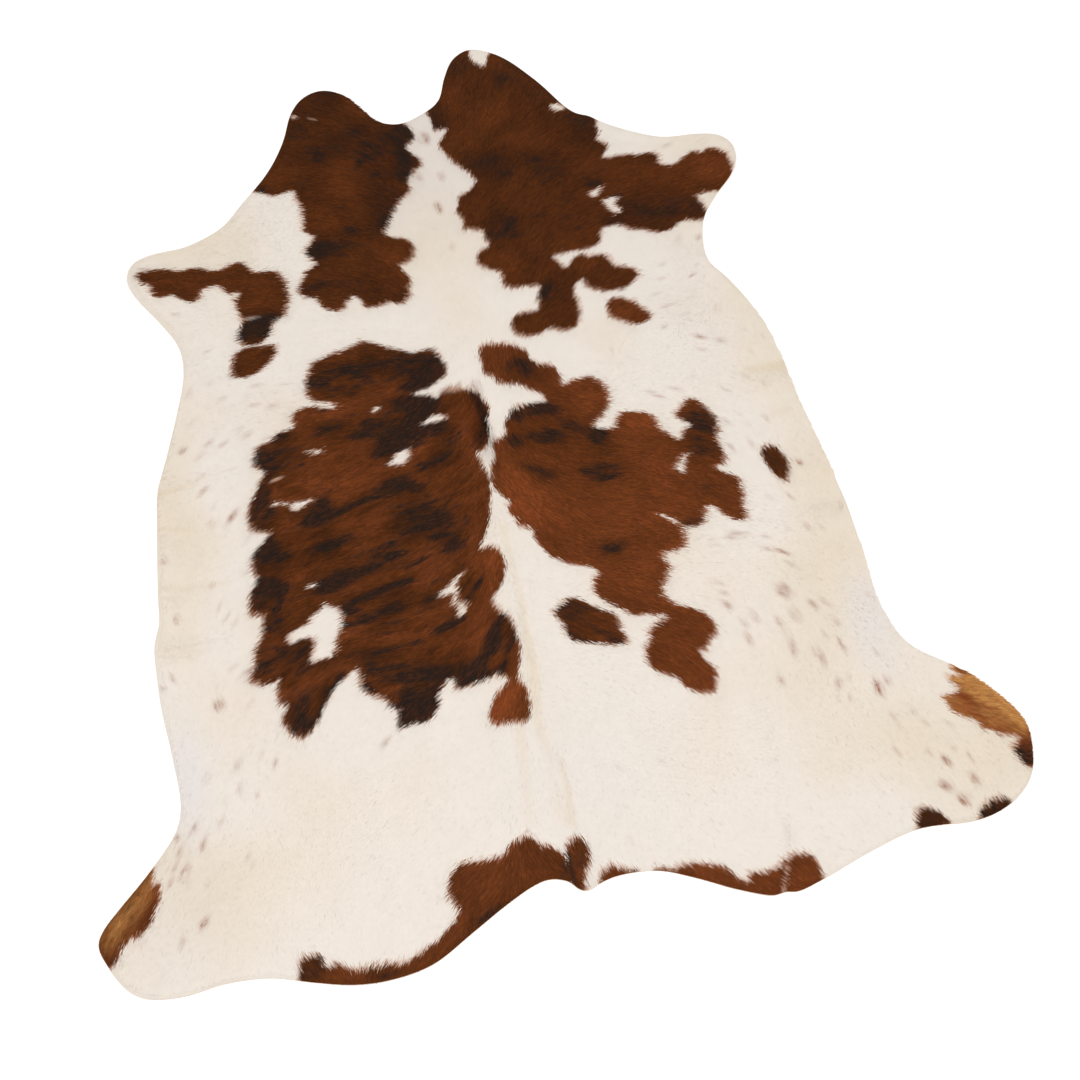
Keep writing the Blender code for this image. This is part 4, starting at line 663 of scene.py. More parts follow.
warmPlaces = [
    (-82, -94, 16, 16, 90, 0.5), (-73, 22, 20, 7, 90, 0.3), (-72, -18, 24, 7, 90, 0.55),
    (74, 0, 38, 10, 90, 0.6), (84, -94, 16, 16, 90, 0.55), (62, -66, 18, 14, 90, 0.4),
    (1, 74, 26, 12, 90, 0.7), (-60, 64, 14, 14, 90, 0.55), (68, -40, 16, 9, 90, 0.35),
    (0, 42, 16, 12, 90, 0.25), (34, 18, 8, 8, 90, 0.4), (-60, -84, 14, 14, 90, 0.1),
    (70, 60, 18, 12, 90, 0.3), (60, -92, 10, 10, 90, 0.2),
]

# Lines: from across and along, to across and along, half width, strength.
# Painted shadow: dark lines along the parting on the crown and in the crease at the tail root.
darkCreaseShadows = [
    (-0.2, 12.5, 0.5, 8, 0.8, 0.7), (0.5, 8, 1.1, 1, 0.8, 0.8), (1.1, 1, 0.9, -3.5, 0.6, 0.7),
    (-3.3, -97, -3.3, -105.2, 0.45, 0.75), (-4.4, -99.3, -4, -101, 0.5, 0.5),
]

paleLines = [(39.9, -106, 38.1, -110.4, 0.14, 0.65), (38.1, -110.4, 36.2, -114.5, 0.14, 0.5)]
# Painted shade: grey lines in the crease at the rump and along the troughs by the spine on the loin.
greyCreaseShades = [
    (40.8, -102.5, 39.8, -106.4, 0.22, 0.28), (-0.2, -78.9, 0, -85.2, 0.22, 0.08),
    (0, -85.2, -0.9, -91.5, 0.22, 0.05),
]

# Warm lines: the yellowish stripe down the spine is the coat's colour; the lines beside it on the loin and
# the short lines in from the left and right edges are painted shade of creases and folds.
warmStripesAndCreaseShade = [
    (-0.8, -24, -0.7, -42.3, 0.55, 0.3), (-0.7, -42.3, -1.2, -51.3, 0.6, 0.45),
    (-1.2, -51.3, -1.4, -58.4, 0.65, 0.5), (-1.4, -58.4, -2.3, -64.8, 0.7, 0.5),
    (-2.3, -64.8, -2.9, -70.2, 0.8, 0.45), (-2.9, -70.2, -2.4, -77, 0.9, 0.42),
    (-5.8, -66, -7.1, -73, 1, 0.3), (-7.1, -73, -8, -82.4, 1.1, 0.42),
    (-8, -82.4, -9.4, -89.6, 1.2, 0.38), (-2.2, -78, -2.7, -90, 1.4, 0.3),
    (-0.4, -79, -0.3, -85.8, 0.8, 0.5), (-0.3, -85.8, -1.2, -92, 0.8, 0.48),
    (-73.7, 0, -65.6, 1.4, 0.5, 0.25), (-65.6, 1.4, -56.9, 2.8, 0.4, 0.15),
    (-74.3, -8.3, -68.2, -10.1, 0.5, 0.2), (63, 3.2, 73.5, 3, 0.9, 0.35),
    (65.6, -9.3, 69.4, -8.9, 0.5, 0.25), (-75.2, -22.9, -69.1, -24, 0.5, 0.25),
    (-69.1, -24, -60.9, -24.3, 0.5, 0.2),
]

# Soft grooves in the coat: from across and along, to across and along, half width, height of the sides.
grooves = [
    (-0.7, -24, -0.5, -42.3, 0.5, 0.04), (-0.5, -42.3, -1, -51.3, 0.5, 0.05),
    (-1, -51.3, -2.6, -70.2, 0.5, 0.04), (-7.1, -73, -8, -82.4, 0.8, 0.05),
    (-8, -82.4, -9.2, -88.6, 0.8, 0.05), (-0.4, -78, -0.1, -85.8, 0.4, 0.08),
    (-0.1, -85.8, -1.4, -91.5, 0.4, 0.06), (40.8, -102.5, 39.7, -106.9, 0.3, 0.1),
    (39.7, -106.9, 38.1, -110.4, 0.3, 0.12), (38.1, -110.4, 36.2, -114.5, 0.3, 0.12),
    (-3.3, -96, -3.3, -105.5, 0.4, 0.14), (0.3, 12.5, 0.9, 1, 0.5, 0.12), (0.9, 1, 0.2, -6, 0.4, 0.1),
]


# Fields over the whole rug: one number every few millimetres, read between the numbers.

gridStep = 0.3
gridLeft = -102.0
gridRight = 102.0
gridFoot = -124.0
gridNeck = 124.0
gridX, gridY = np.meshgrid(
    np.arange(gridLeft, gridRight + 0.01, gridStep),
    np.arange(gridFoot, gridNeck + 0.01, gridStep),
)
gridShape = gridX.shape
lastReading = 1.001  # how many steps before the end of a field it is last read
dice = np.random.default_rng(31)


def readBetween(field, row, column):
    i = np.minimum(row.astype(int), field.shape[0] - 2)
    j = np.minimum(column.astype(int), field.shape[1] - 2)
    up, side = row - i, column - j
    low = field[i, j] * (1 - side) + field[i, j + 1] * side
    high = field[i + 1, j] * (1 - side) + field[i + 1, j + 1] * side
    return low * (1 - up) + high * up


def readField(field, x, y):  # at places given in centimetres
    column = np.clip((np.asarray(x) - gridLeft) / gridStep, 0, gridShape[1] - lastReading)
    row = np.clip((np.asarray(y) - gridFoot) / gridStep, 0, gridShape[0] - lastReading)
    return readBetween(field, row, column)


def blur(field, size):  # size in centimetres
    turns = [np.fft.fftfreq(gridShape[0], gridStep)[:, None], np.fft.rfftfreq(gridShape[1], gridStep)[None]]
    fade = np.exp(-2 * (math.pi * size) ** 2 * (turns[0] ** 2 + turns[1] ** 2))
    return np.fft.irfft2(np.fft.rfft2(field) * fade, gridShape)


def easing(low, high, value):
    part = np.clip((value - low) / (high - low), 0, 1)
    return part * part * (3 - 2 * part)


def smoothLoop(points, parts=4):  # a line through the points that doesn't overshoot where they are close
    here = np.array(points, float)
    before, after, later = np.roll(here, 1, 0), np.roll(here, -1, 0), np.roll(here, -2, 0)

    def gap(start, end):
        return np.sqrt(np.maximum(np.hypot(*(end - start).T), 1e-6))[:, None]

    one = gap(before, here)
    two = one + gap(here, after)
    three = two + gap(after, later)
    rows = []
    for part in range(parts):
        t = one + (two - one) * part / parts
        first = ((one - t) * before + t * here) / one
        second = ((two - t) * here + (t - one) * after) / (two - one)
        third = ((three - t) * after + (t - two) * later) / (three - two)
        left = ((two - t) * first + t * second) / two
        right = ((three - t) * second + (t - one) * third) / (three - one)
        rows.append(((two - t) * left + (t - one) * right) / (two - one))
    return np.stack(rows, 1).reshape(-1, 2)


def depthInside(loop, x, y):  # how far each point is inside the loop, below 0 outside
    ends = np.roll(loop, -1, 0)
    nearest = np.full(x.shape, 1e9)
    inside = np.zeros(x.shape, bool)
    for (ax, ay), (bx, by) in zip(loop, ends):
        px, py = bx - ax, by - ay
        part = np.clip(((x - ax) * px + (y - ay) * py) / (px * px + py * py + 1e-12), 0, 1)
        nearest = np.minimum(nearest, (x - ax - part * px) ** 2 + (y - ay - part * py) ** 2)
        if ay != by:
            inside ^= ((ay > y) != (by > y)) & (x < px * (y - ay) / py + ax)
    return np.where(inside, 1, -1) * np.sqrt(nearest)


def window(low, high, reach):  # the part of the grid round a shape
    def span(start, end, first, count):
        ends = [int(np.clip((v - first) / gridStep, 0, count)) for v in (start - reach, end + reach)]
        return slice(ends[0], ends[1] + 1)

    return span(low[1], high[1], gridFoot, gridShape[0]), span(low[0], high[0], gridLeft, gridShape[1])


headings = {
    "coarse": 6,  # grid steps between the places where the heading is worked out
    "near": 3.0,  # centimetres within which a charted heading counts in full
    "falloff": 1.6,  # how fast it counts for less beyond that
    "parting": 0.8,  # half the width of the line down the back where the sides meet
}


def hairHeadings():
    coarse = headings["coarse"]
    x, y = gridX[::coarse, ::coarse], gridY[::coarse, ::coarse]
    sides = []
    for side in ("left", "right"):
        total = np.zeros((2,) + x.shape)
        for across, along, degrees in hairWays[side] + hairWays["middle"]:
            apart = (x - across) ** 2 + (y - along) ** 2 + headings["near"] ** 2
            weight = 1 / apart ** headings["falloff"]
            angle = math.radians(degrees)
            total += weight * np.array([math.cos(angle), math.sin(angle)])[:, None, None]
        sides.append(total / np.hypot(*total))
    line = np.array(sorted(spine, key=lambda row: row[1]))
    offSpine = gridX - np.interp(gridY, line[:, 1], line[:, 0])
    past = easing(-headings["parting"], headings["parting"], offSpine)
    row, column = (gridY - gridFoot) / gridStep / coarse, (gridX - gridLeft) / gridStep / coarse
    left, right = [[readBetween(part, row, column) for part in side] for side in sides]
    wayX, wayY = [a * (1 - past) + b * past for a, b in zip(left, right)]
    size = np.hypot(wayX, wayY) + 1e-6
    return wayX / size, wayY / size


wayX, wayY = hairHeadings()
report("hair headings")


def combed(field, reach):  # averages a field along the hair
    total, count = field.copy(), 1
    stride = 0.45
    for sign in (1, -1):
        x, y = gridX.copy(), gridY.copy()
        for _ in range(int(reach / stride)):
            stepX, stepY = readField(wayX, x, y), readField(wayY, x, y)
            x += sign * stride * stepX
            y += sign * stride * stepY
            total += readField(field, x, y)
            count += 1
    return total / count


def softNoise(size, reach=0):
    field = blur(dice.standard_normal(gridShape), size)
    if reach:
        field = combed(field, reach)
    return field / field.std()


def painted(rows, edge=0.55):  # soft ovals
    field = np.zeros(gridShape)
    for across, along, halfLength, halfWidth, heading, strength in rows:
        angle = math.radians(heading)
        part = window((across, along), (across, along), 1.7 * max(halfLength, halfWidth))
        x, y = gridX[part] - across, gridY[part] - along
        lengthwise = (x * math.cos(angle) + y * math.sin(angle)) / halfLength
        sideways = (y * math.cos(angle) - x * math.sin(angle)) / halfWidth
        cover = strength * easing(1 + edge, 1 - edge, np.hypot(lengthwise, sideways))
        field[part] = 1 - (1 - field[part]) * (1 - cover)
    return field


def offLine(x, y, row):  # how many half widths each place is from a charted line
    fromX, fromY, toX, toY, halfWidth = row[:5]
    px, py = toX - fromX, toY - fromY
    x, y = x - fromX, y - fromY
    along = np.clip((x * px + y * py) / (px * px + py * py), 0, 1)
    return np.hypot(x - along * px, y - along * py) / halfWidth


def lined(rows):
    field = np.zeros(gridShape)
    for row in rows:
        ends = np.array([row[:2], row[2:4]])
        part = window(ends.min(0), ends.max(0), 3 * row[4] + 0.5)
        off = offLine(gridX[part], gridY[part], row)
        field[part] = np.maximum(field[part], row[5] * easing(2.2, 0.2, off))
    return field


# How the charted coat is broken up by the noise that runs along the hair.
coatLook = {
    "edgeTufts": 0.08,  # how ragged the outlines of the patches are, in centimetres
    "edgeStreaks": 0.06,
    "smudgeRagged": (0.11, 0.12, 0.09, 0.06),  # by wide streaks, fine ones, strands and broad ones
    "smudgeStart": 0.42,  # how strong a smudge is where its hair begins to be dark
    "smudgeSoft": 0.92,
    "smudgeDepth": 0.9,
    "haloLonger": 1.6,  # the browner hair round a smudge
    "haloWider": 1.7,
    "haloMargin": 0.8,
    "haloDeeper": 0.17,
    "edgeLighter": 0.14,  # along the outlines of the patches
    "edgeReach": 0.9,
    "cloudy": 0.03,
    "redder": 0.4,
    "tickRagged": 0.45,
    "wispRagged": 0.3,
    "warmCloudy": 0.1,
}

brownDepth = np.full(gridShape, -9.0)
tone = np.full(gridShape, 0.45)
brindle = np.zeros(gridShape)
toneDepth = np.full(gridShape, -6.0)
for patch in patches.values():
    loop = smoothLoop(patch["line"])
    part = window(loop.min(0), loop.max(0), 6)
    depth = depthInside(loop, gridX[part], gridY[part])
    closest = depth > toneDepth[part]
    toneDepth[part] = np.maximum(toneDepth[part], depth)
    tone[part] = np.where(closest, patch["tone"], tone[part])
    brindle[part] = np.where(closest, patch["brindle"], brindle[part])
    brownDepth[part] = np.maximum(brownDepth[part], depth)
for line in gaps:
    loop = smoothLoop(line)
    part = window(loop.min(0), loop.max(0), 4)
    brownDepth[part] = np.minimum(brownDepth[part], 0.12 - depthInside(loop, gridX[part], gridY[part]))
report("patch outlines")

strands = softNoise(0.25, 1.2)
fineStreaks = softNoise(0.27, 2.0)
wideStreaks = softNoise(0.5, 2.4)
broadStreaks = softNoise(1.5, 3.0)
tufts = softNoise(0.5, 1.0)
clouds = softNoise(5.0)
brownDepth += coatLook["edgeTufts"] * tufts + coatLook["edgeStreaks"] * fineStreaks
brindle = blur(brindle, 1.5)

smudged = painted(smudges, edge=0.75)
haloRows = []
for x, y, halfLength, halfWidth, heading, strength in smudges:
    halfLength *= coatLook["haloLonger"]
    halfWidth = coatLook["haloWider"] * halfWidth + coatLook["haloMargin"]
    haloRows.append((x, y, halfLength, halfWidth, heading, strength))
halo = painted(haloRows, edge=0.8)
byWide, byFine, byStrand, byBroad = coatLook["smudgeRagged"]
ragged = byWide * wideStreaks + byFine * fineStreaks + byStrand * strands + byBroad * broadStreaks
over = smudged - coatLook["smudgeStart"] + 0.14 * halo + 0.14 * brindle + ragged
dark = easing(-0.2, coatLook["smudgeSoft"] - 0.3 * brindle, over)
dark *= easing(0.02, 0.3, smudged + 0.3 * halo + 0.15 * brindle)
# the brindle's dark hair, with painted shadow along the dark crease lines
dark = 1 - (1 - coatLook["smudgeDepth"] * dark) * (1 - lined(darkCreaseShadows))

uneven = 0.022 + 0.07 * brindle
tone = blur(tone, 1.0) + (0.008 + uneven) * broadStreaks
tone = tone + 0.9 * uneven * wideStreaks + 0.6 * uneven * fineStreaks
lighter = coatLook["edgeLighter"] * (1 - 0.7 * brindle) * np.exp(-((brownDepth / coatLook["edgeReach"]) ** 2))
redder = coatLook["redder"] * painted(redderSpots, edge=0.8)
deeper = (coatLook["haloDeeper"] + 0.08 * brindle) * halo
tone += lighter + coatLook["cloudy"] * clouds + redder - deeper

freckles = []
for x, y, halfLength, halfWidth, strength in flecks:
    heading = math.degrees(math.atan2(readField(wayY, x, y), readField(wayX, x, y)))
    freckles.append((x, y, 1.1 * halfLength, 1.1 * halfWidth + 0.05, heading, strength))
tickNoise = 1 + coatLook["tickRagged"] * fineStreaks + coatLook["tickRagged"] * strands
ticks = np.clip(painted(freckles, edge=0.9) * tickNoise, 0, 1)
wisps = np.clip(painted(greyWisps, edge=0.7) * (1 + coatLook["wispRagged"] * strands), 0, 1)
tanNoise = 0.95 + 0.26 * wideStreaks + 0.2 * fineStreaks + 0.1 * strands
# warm cream of the coat, with painted shade from the crease and fold lines
warmth = painted(warmPlaces, edge=0.9) + coatLook["warmCloudy"] * clouds + lined(warmStripesAndCreaseShade)
fields = {
    "dark": dark,
    "tone": np.clip(tone, 0, 1),
    "tan": np.clip(painted(tanSpots, edge=0.6) * tanNoise, 0, 1),
    # ticking and grey wisps, with painted shade from the grey crease lines
    "tick": np.clip(1 - (1 - ticks) * (1 - wisps) * (1 - lined(greyCreaseShades)), 0, 1),
    "pale": np.maximum(painted(paleStreaks), lined(paleLines)),
    "warm": np.clip(warmth, 0, 1),
    # greyer white: a thin coat, and painted shade at the neck and the left hind lobe
    "thin": painted(thinCoatAndShadePlaces, edge=0.9),
    "tuft": tufts,
}
report("coat fields")


def grooved(rows):  # soft swellings with a groove along their middle, in centimetres
    field = np.zeros(gridShape)
    for row in rows:
        off = offLine(gridX, gridY, row)
        field = np.maximum(field, row[5] * (np.exp(-((off / 3) ** 2)) - np.exp(-(off ** 2))))
    return field


relief = grooved(grooves) + np.clip(0.016 * softNoise(2.6) + 0.03, 0, 1)
reliefY, reliefX = np.gradient(relief, gridStep)


def brownAt(x, y, jitter=0.0, soft=0.12):
    return easing(-soft, soft, readField(brownDepth, x, y) + jitter) * (1 - readField(fields["pale"], x, y))


def coatAt(x, y, jitter=0.0, soft=0.12):  # what the coat is at places given in centimetres
    coat = {name: readField(field, x, y) for name, field in fields.items() if name != "pale"}
    coat["brown"] = brownAt(x, y, jitter, soft)
    return coat


def storeNumbers(mesh, values):
    for name, value in values.items():
        attribute = mesh.attributes.new(name, "FLOAT", "POINT")
        attribute.data.foreach_set("value", np.ascontiguousarray(value, np.float32))


# The skin: a thin sheet on the folds of the solid, in metres.

skin = {
    "thickness": 0.0026,
    "belowHair": 0.0016,  # from the solid's top down to the skin's
    "aboveFloor": 0.0002,
    "topStep": 0.0100,
    "underStep": 0.0160,
    "rimStep": 0.0065,
    "stray": 0.12,  # how far a point of the lattice is off its place, in steps
    "edgeRound": 0.0005,
    "rimBand": 2.0,  # centimetres from the cut edge in which the top comes down to the skin's thickness
}

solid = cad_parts["hide"].data
corners = np.empty(3 * len(solid.vertices), np.float32)
solid.vertices.foreach_get("co", corners)
corners = corners.reshape(-1, 3).astype(float)
solid.calc_loop_triangles()
triangles = np.empty(3 * len(solid.loop_triangles), np.int32)
solid.loop_triangles.foreach_get("vertices", triangles)
places, merged = np.unique(np.round(corners, 6), axis=0, return_inverse=True)
triangles = merged.reshape(-1)[triangles].reshape(-1, 3)
solidTree = BVHTree.FromPolygons(places.tolist(), triangles.tolist())


def rimOfSolid():  # the line where the faces that look up meet those that look down
    edges = places[triangles]
    up = np.cross(edges[:, 1] - edges[:, 0], edges[:, 2] - edges[:, 0])[:, 2] > 1e-12
    borders = {}
    for triangle, looksUp in zip(triangles.tolist(), up):
        for a, b in zip(triangle, triangle[1:] + triangle[:1]):
            borders.setdefault((min(a, b), max(a, b)), set()).add(bool(looksUp))
    near = {}
    for (a, b), sides in borders.items():
        if len(sides) == 2:
            near.setdefault(a, []).append(b)
            near.setdefault(b, []).append(a)
    longest = []
    left = set(near)
    while left:
        start = left.pop()
        line, last, now = [start], None, start
        while True:
            following = [v for v in near[now] if v != last and v in left]
            if not following:
                break
            last, now = now, following[0]
            left.discard(now)
            line.append(now)
        if len(line) > len(longest):
            longest = line
    return places[longest]


rimLine = rimOfSolid()
print(f"rim of the solid: {len(rimLine)} points")


def evenLoop(points, step):
    closed = np.vstack([points, points[:1]])
    run = np.concatenate([[0], np.cumsum(np.hypot(*np.diff(closed, axis=0).T))])
    at = np.linspace(0, run[-1], max(8, int(run[-1] / step)), endpoint=False)
    return np.stack([np.interp(at, run, closed[:, k]) for k in (0, 1)], 1)


rim = evenLoop(smoothLoop(rimLine[:, :2], 5), skin["rimStep"])
for _ in range(2):
    rim = 0.5 * rim + 0.25 * (np.roll(rim, 1, 0) + np.roll(rim, -1, 0))
turned = np.sum(rim[:, 0] * np.roll(rim[:, 1], -1) - np.roll(rim[:, 0], -1) * rim[:, 1])
if turned < 0:
    rim = rim[::-1].copy()
outward = np.roll(rim, -1, 0) - np.roll(rim, 1, 0)
outward = np.stack([outward[:, 1], -outward[:, 0]], 1) / np.hypot(*outward.T)[:, None]
stride = 3  # grid steps between the places where the distance to the rim is worked out
rimDepth = depthInside(rim[::stride] * 100, gridX[::stride, ::stride], gridY[::stride, ::stride])
rimGap = np.kron(rimDepth, np.ones((stride, stride)))[: gridShape[0], : gridShape[1]]
rimGap = blur(rimGap, 0.6)
report("rim")

heightStep = 4  # grid steps between the places where the solid's height is measured
softening = [0.06, 0.24, 0.4, 0.24, 0.06]


def heightFields():  # top and underside of the solid, smoothed from flat faces to soft folds
    x, y = gridX[::heightStep, ::heightStep] / 100, gridY[::heightStep, ::heightStep] / 100
    found = []
    for start, towards in ((1.0, -1.0), (-1.0, 1.0)):
        height = np.zeros(x.shape)
        seen = np.zeros(x.shape)
        for index in np.ndindex(x.shape):
            if readField(rimGap, x[index] * 100, y[index] * 100) < 0.05:
                continue
            hit = solidTree.ray_cast(Vector((x[index], y[index], start)), Vector((0, 0, towards)))
            if hit[0]:
                height[index], seen[index] = hit[0].z, 1
        for _ in range(2):
            total, weight = height * seen, seen.copy()
            for axis in (0, 1):
                total = sum(k * np.roll(total, s - 2, axis) for s, k in enumerate(softening))
                weight = sum(k * np.roll(weight, s - 2, axis) for s, k in enumerate(softening))
            height = np.where(weight > 0.02, total / np.maximum(weight, 0.02), height)
            seen = np.maximum(seen, (weight > 0.02) * 1.0)
        found.append(height)
    return found


topHeight, underHeight = heightFields()
report("heights")


def readHeight(field, x, y):  # at places given in metres
    column = np.clip((x * 100 - gridLeft) / gridStep / heightStep, 0, field.shape[1] - lastReading)
    row = np.clip((y * 100 - gridFoot) / gridStep / heightStep, 0, field.shape[0] - lastReading)
    return readBetween(field, row, column)


def doubleAreas(flat, faces):
    return np.cross(flat[faces[:, 1]] - flat[faces[:, 0]], flat[faces[:, 2]] - flat[faces[:, 0]])


def sheetSide(loop, step):  # points and triangles that fill the loop
    across = np.arange(-0.97, 0.97, step)
    rows = []
    for k, along in enumerate(np.arange(-1.16, 1.16, step * 0.866)):
        rows.append(np.column_stack([across + (k % 2) * step / 2, np.full(len(across), along)]))
    lattice = np.concatenate(rows)
    lattice += dice.uniform(-skin["stray"], skin["stray"], lattice.shape) * step
    keep = readField(rimGap, lattice[:, 0] * 100, lattice[:, 1] * 100) > step * 55  # just over half a step
    points = np.vstack([loop, lattice[keep]])
    count = len(loop)
    edges = [(k, (k + 1) % count) for k in range(count)]
    made = delaunay_2d_cdt([Vector(p) for p in points], edges, [], 0, 1e-7)
    flat = np.array([v[:] for v in made[0]])
    faces = np.array([f for f in made[2] if len(f) == 3])
    centre = flat[faces].mean(1)
    area = doubleAreas(flat, faces)
    faces = np.where(area[:, None] < 0, faces[:, ::-1], faces)
    inside = depthInside(loop[::2] * 100, centre[:, 0] * 100, centre[:, 1] * 100) > -0.02
    thick = np.abs(area) > 1e-9
    if len(flat) != len(points):
        print(f"the lattice gave {len(flat)} points for {len(points)}")
    return flat, faces[inside & thick]


topLoop = rim - outward * skin["edgeRound"]
topFlat, topFaces = sheetSide(topLoop, skin["topStep"])
underFlat, underFaces = sheetSide(topLoop, skin["underStep"])
rimCount = len(rim)
topZ = readHeight(topHeight, topFlat[:, 0], topFlat[:, 1]) - skin["belowHair"]
underZ = np.maximum(readHeight(underHeight, underFlat[:, 0], underFlat[:, 1]), skin["aboveFloor"])
rimUnder = underZ[:rimCount]
nearRim = easing(skin["rimBand"], 0.2, readField(rimGap, topFlat[:, 0] * 100, topFlat[:, 1] * 100))
thinTop = readHeight(underHeight, topFlat[:, 0], topFlat[:, 1]) + skin["thickness"]
topZ = np.where(nearRim > 0, topZ * (1 - nearRim) + thinTop * nearRim, topZ)
topZ[:rimCount] = rimUnder + skin["thickness"]

midHigh = np.column_stack([rim, rimUnder + skin["thickness"] - skin["edgeRound"]])
midLow = np.column_stack([rim, rimUnder + skin["edgeRound"]])
skinPoints = np.vstack([
    np.column_stack([topFlat, topZ]), np.column_stack([underFlat, underZ]), midHigh, midLow,
])
underStart = len(topFlat)
highStart = underStart + len(underFlat)
lowStart = highStart + rimCount
ring = np.arange(rimCount)
ringNext = np.roll(ring, -1)
strips = []
for upper, lower in ((0, highStart), (highStart, lowStart), (lowStart, underStart)):
    strips.append(np.column_stack([lower + ring, lower + ringNext, upper + ringNext]))
    strips.append(np.column_stack([lower + ring, upper + ringNext, upper + ring]))
edgeFaces = np.vstack(strips)
skinFaces = np.vstack([topFaces, underFaces[:, ::-1] + underStart, edgeFaces])


def meshPiece(name, points, faces):
    mesh = bpy.data.meshes.new(name)
    mesh.vertices.add(len(points))
    mesh.vertices.foreach_set("co", np.ascontiguousarray(points, np.float32).reshape(-1))
    mesh.loops.add(faces.size)
    mesh.loops.foreach_set("vertex_index", np.ascontiguousarray(faces, np.int32).reshape(-1))
    mesh.polygons.add(len(faces))
    mesh.polygons.foreach_set("loop_start", np.arange(0, faces.size, faces.shape[1], dtype=np.int32))
    mesh.update(calc_edges=True)
    mesh.validate()
    piece = bpy.data.objects.new(name, mesh)
    scene.collection.objects.link(piece)
    return piece


hideSkin = meshPiece("hideSkin", skinPoints, skinFaces)
hideSkin.data.shade_smooth()
coatBelow = coatAt(skinPoints[:, 0] * 100, skinPoints[:, 1] * 100, soft=0.35)
storeNumbers(hideSkin.data, coatBelow)
materialOf = np.zeros(len(skinFaces), np.int32)
materialOf[len(topFaces):] = 1
hideSkin.data.polygons.foreach_set("material_index", materialOf)
report(f"skin, {len(skinFaces)} faces")


# The hair: short blades grown over the skin by a node tree, one piece for each part of the back.

hair = {
    "length": 0.0215,
    "width": 0.0022,
    "rise": 0.0003,
    "widest": 0.42,  # how far along a blade, its tip being 1
    "perPiece": 83000,  # blades on each piece, before the borders get more
    "turn": 0.11,  # how far a blade strays from its neighbours, in radians
    "roll": 0.06,
    "tilt": 0.01,
    "lift": 0.008,
    "crest": (0.6, 4, 9, 1.6, 90, 1.0),  # where the hair stands up, charted like a smudge
    "crestLift": 0.35,
    "overRim": -0.05,  # centimetres past the cut edge
    "thinShorter": 0.25,
    "border": 0.9,  # centimetres on both sides of a patch's outline with finer and denser blades
    "borderShorter": 0.02,
    "borderFiner": 0.45,
    "borderDenser": 0.45,
    "whiteWider": 0.4,
    "rimFiner": 0.3,
    "outlineStray": 0.29,  # how far a blade takes its colour from over the outline, in centimetres
    "darkStray": 0.9,
    "toneStray": 0.38,
    "tanStray": 0.7,
    "tickAndShadeSlide": 0.16,  # how far a blade's ticking and painted crease shade move along it, as part of its length
    "tickAndShadeStray": (0.45, 1.25),
    "ownShade": 0.2,  # how much a blade is shaded by its own tilt, the rest by the skin below it
    "seed": 5,
    "pieces": ["hairNeck", "hairShoulders", "hairBack", "hairLoin", "hairRump"],
}

bladeMesh = bpy.data.meshes.new("blade")
bladeMesh.from_pydata(
    [
        (0, 0, 0),
        (hair["widest"] * hair["length"], -hair["width"] / 2, 0.8 * hair["rise"]),
        (hair["widest"] * hair["length"], hair["width"] / 2, 0.8 * hair["rise"]),
        (hair["length"], 0, hair["rise"]),
    ],
    [],
    [(0, 1, 2), (1, 3, 2)],
)
blade = bpy.data.objects.new("blade", bladeMesh)


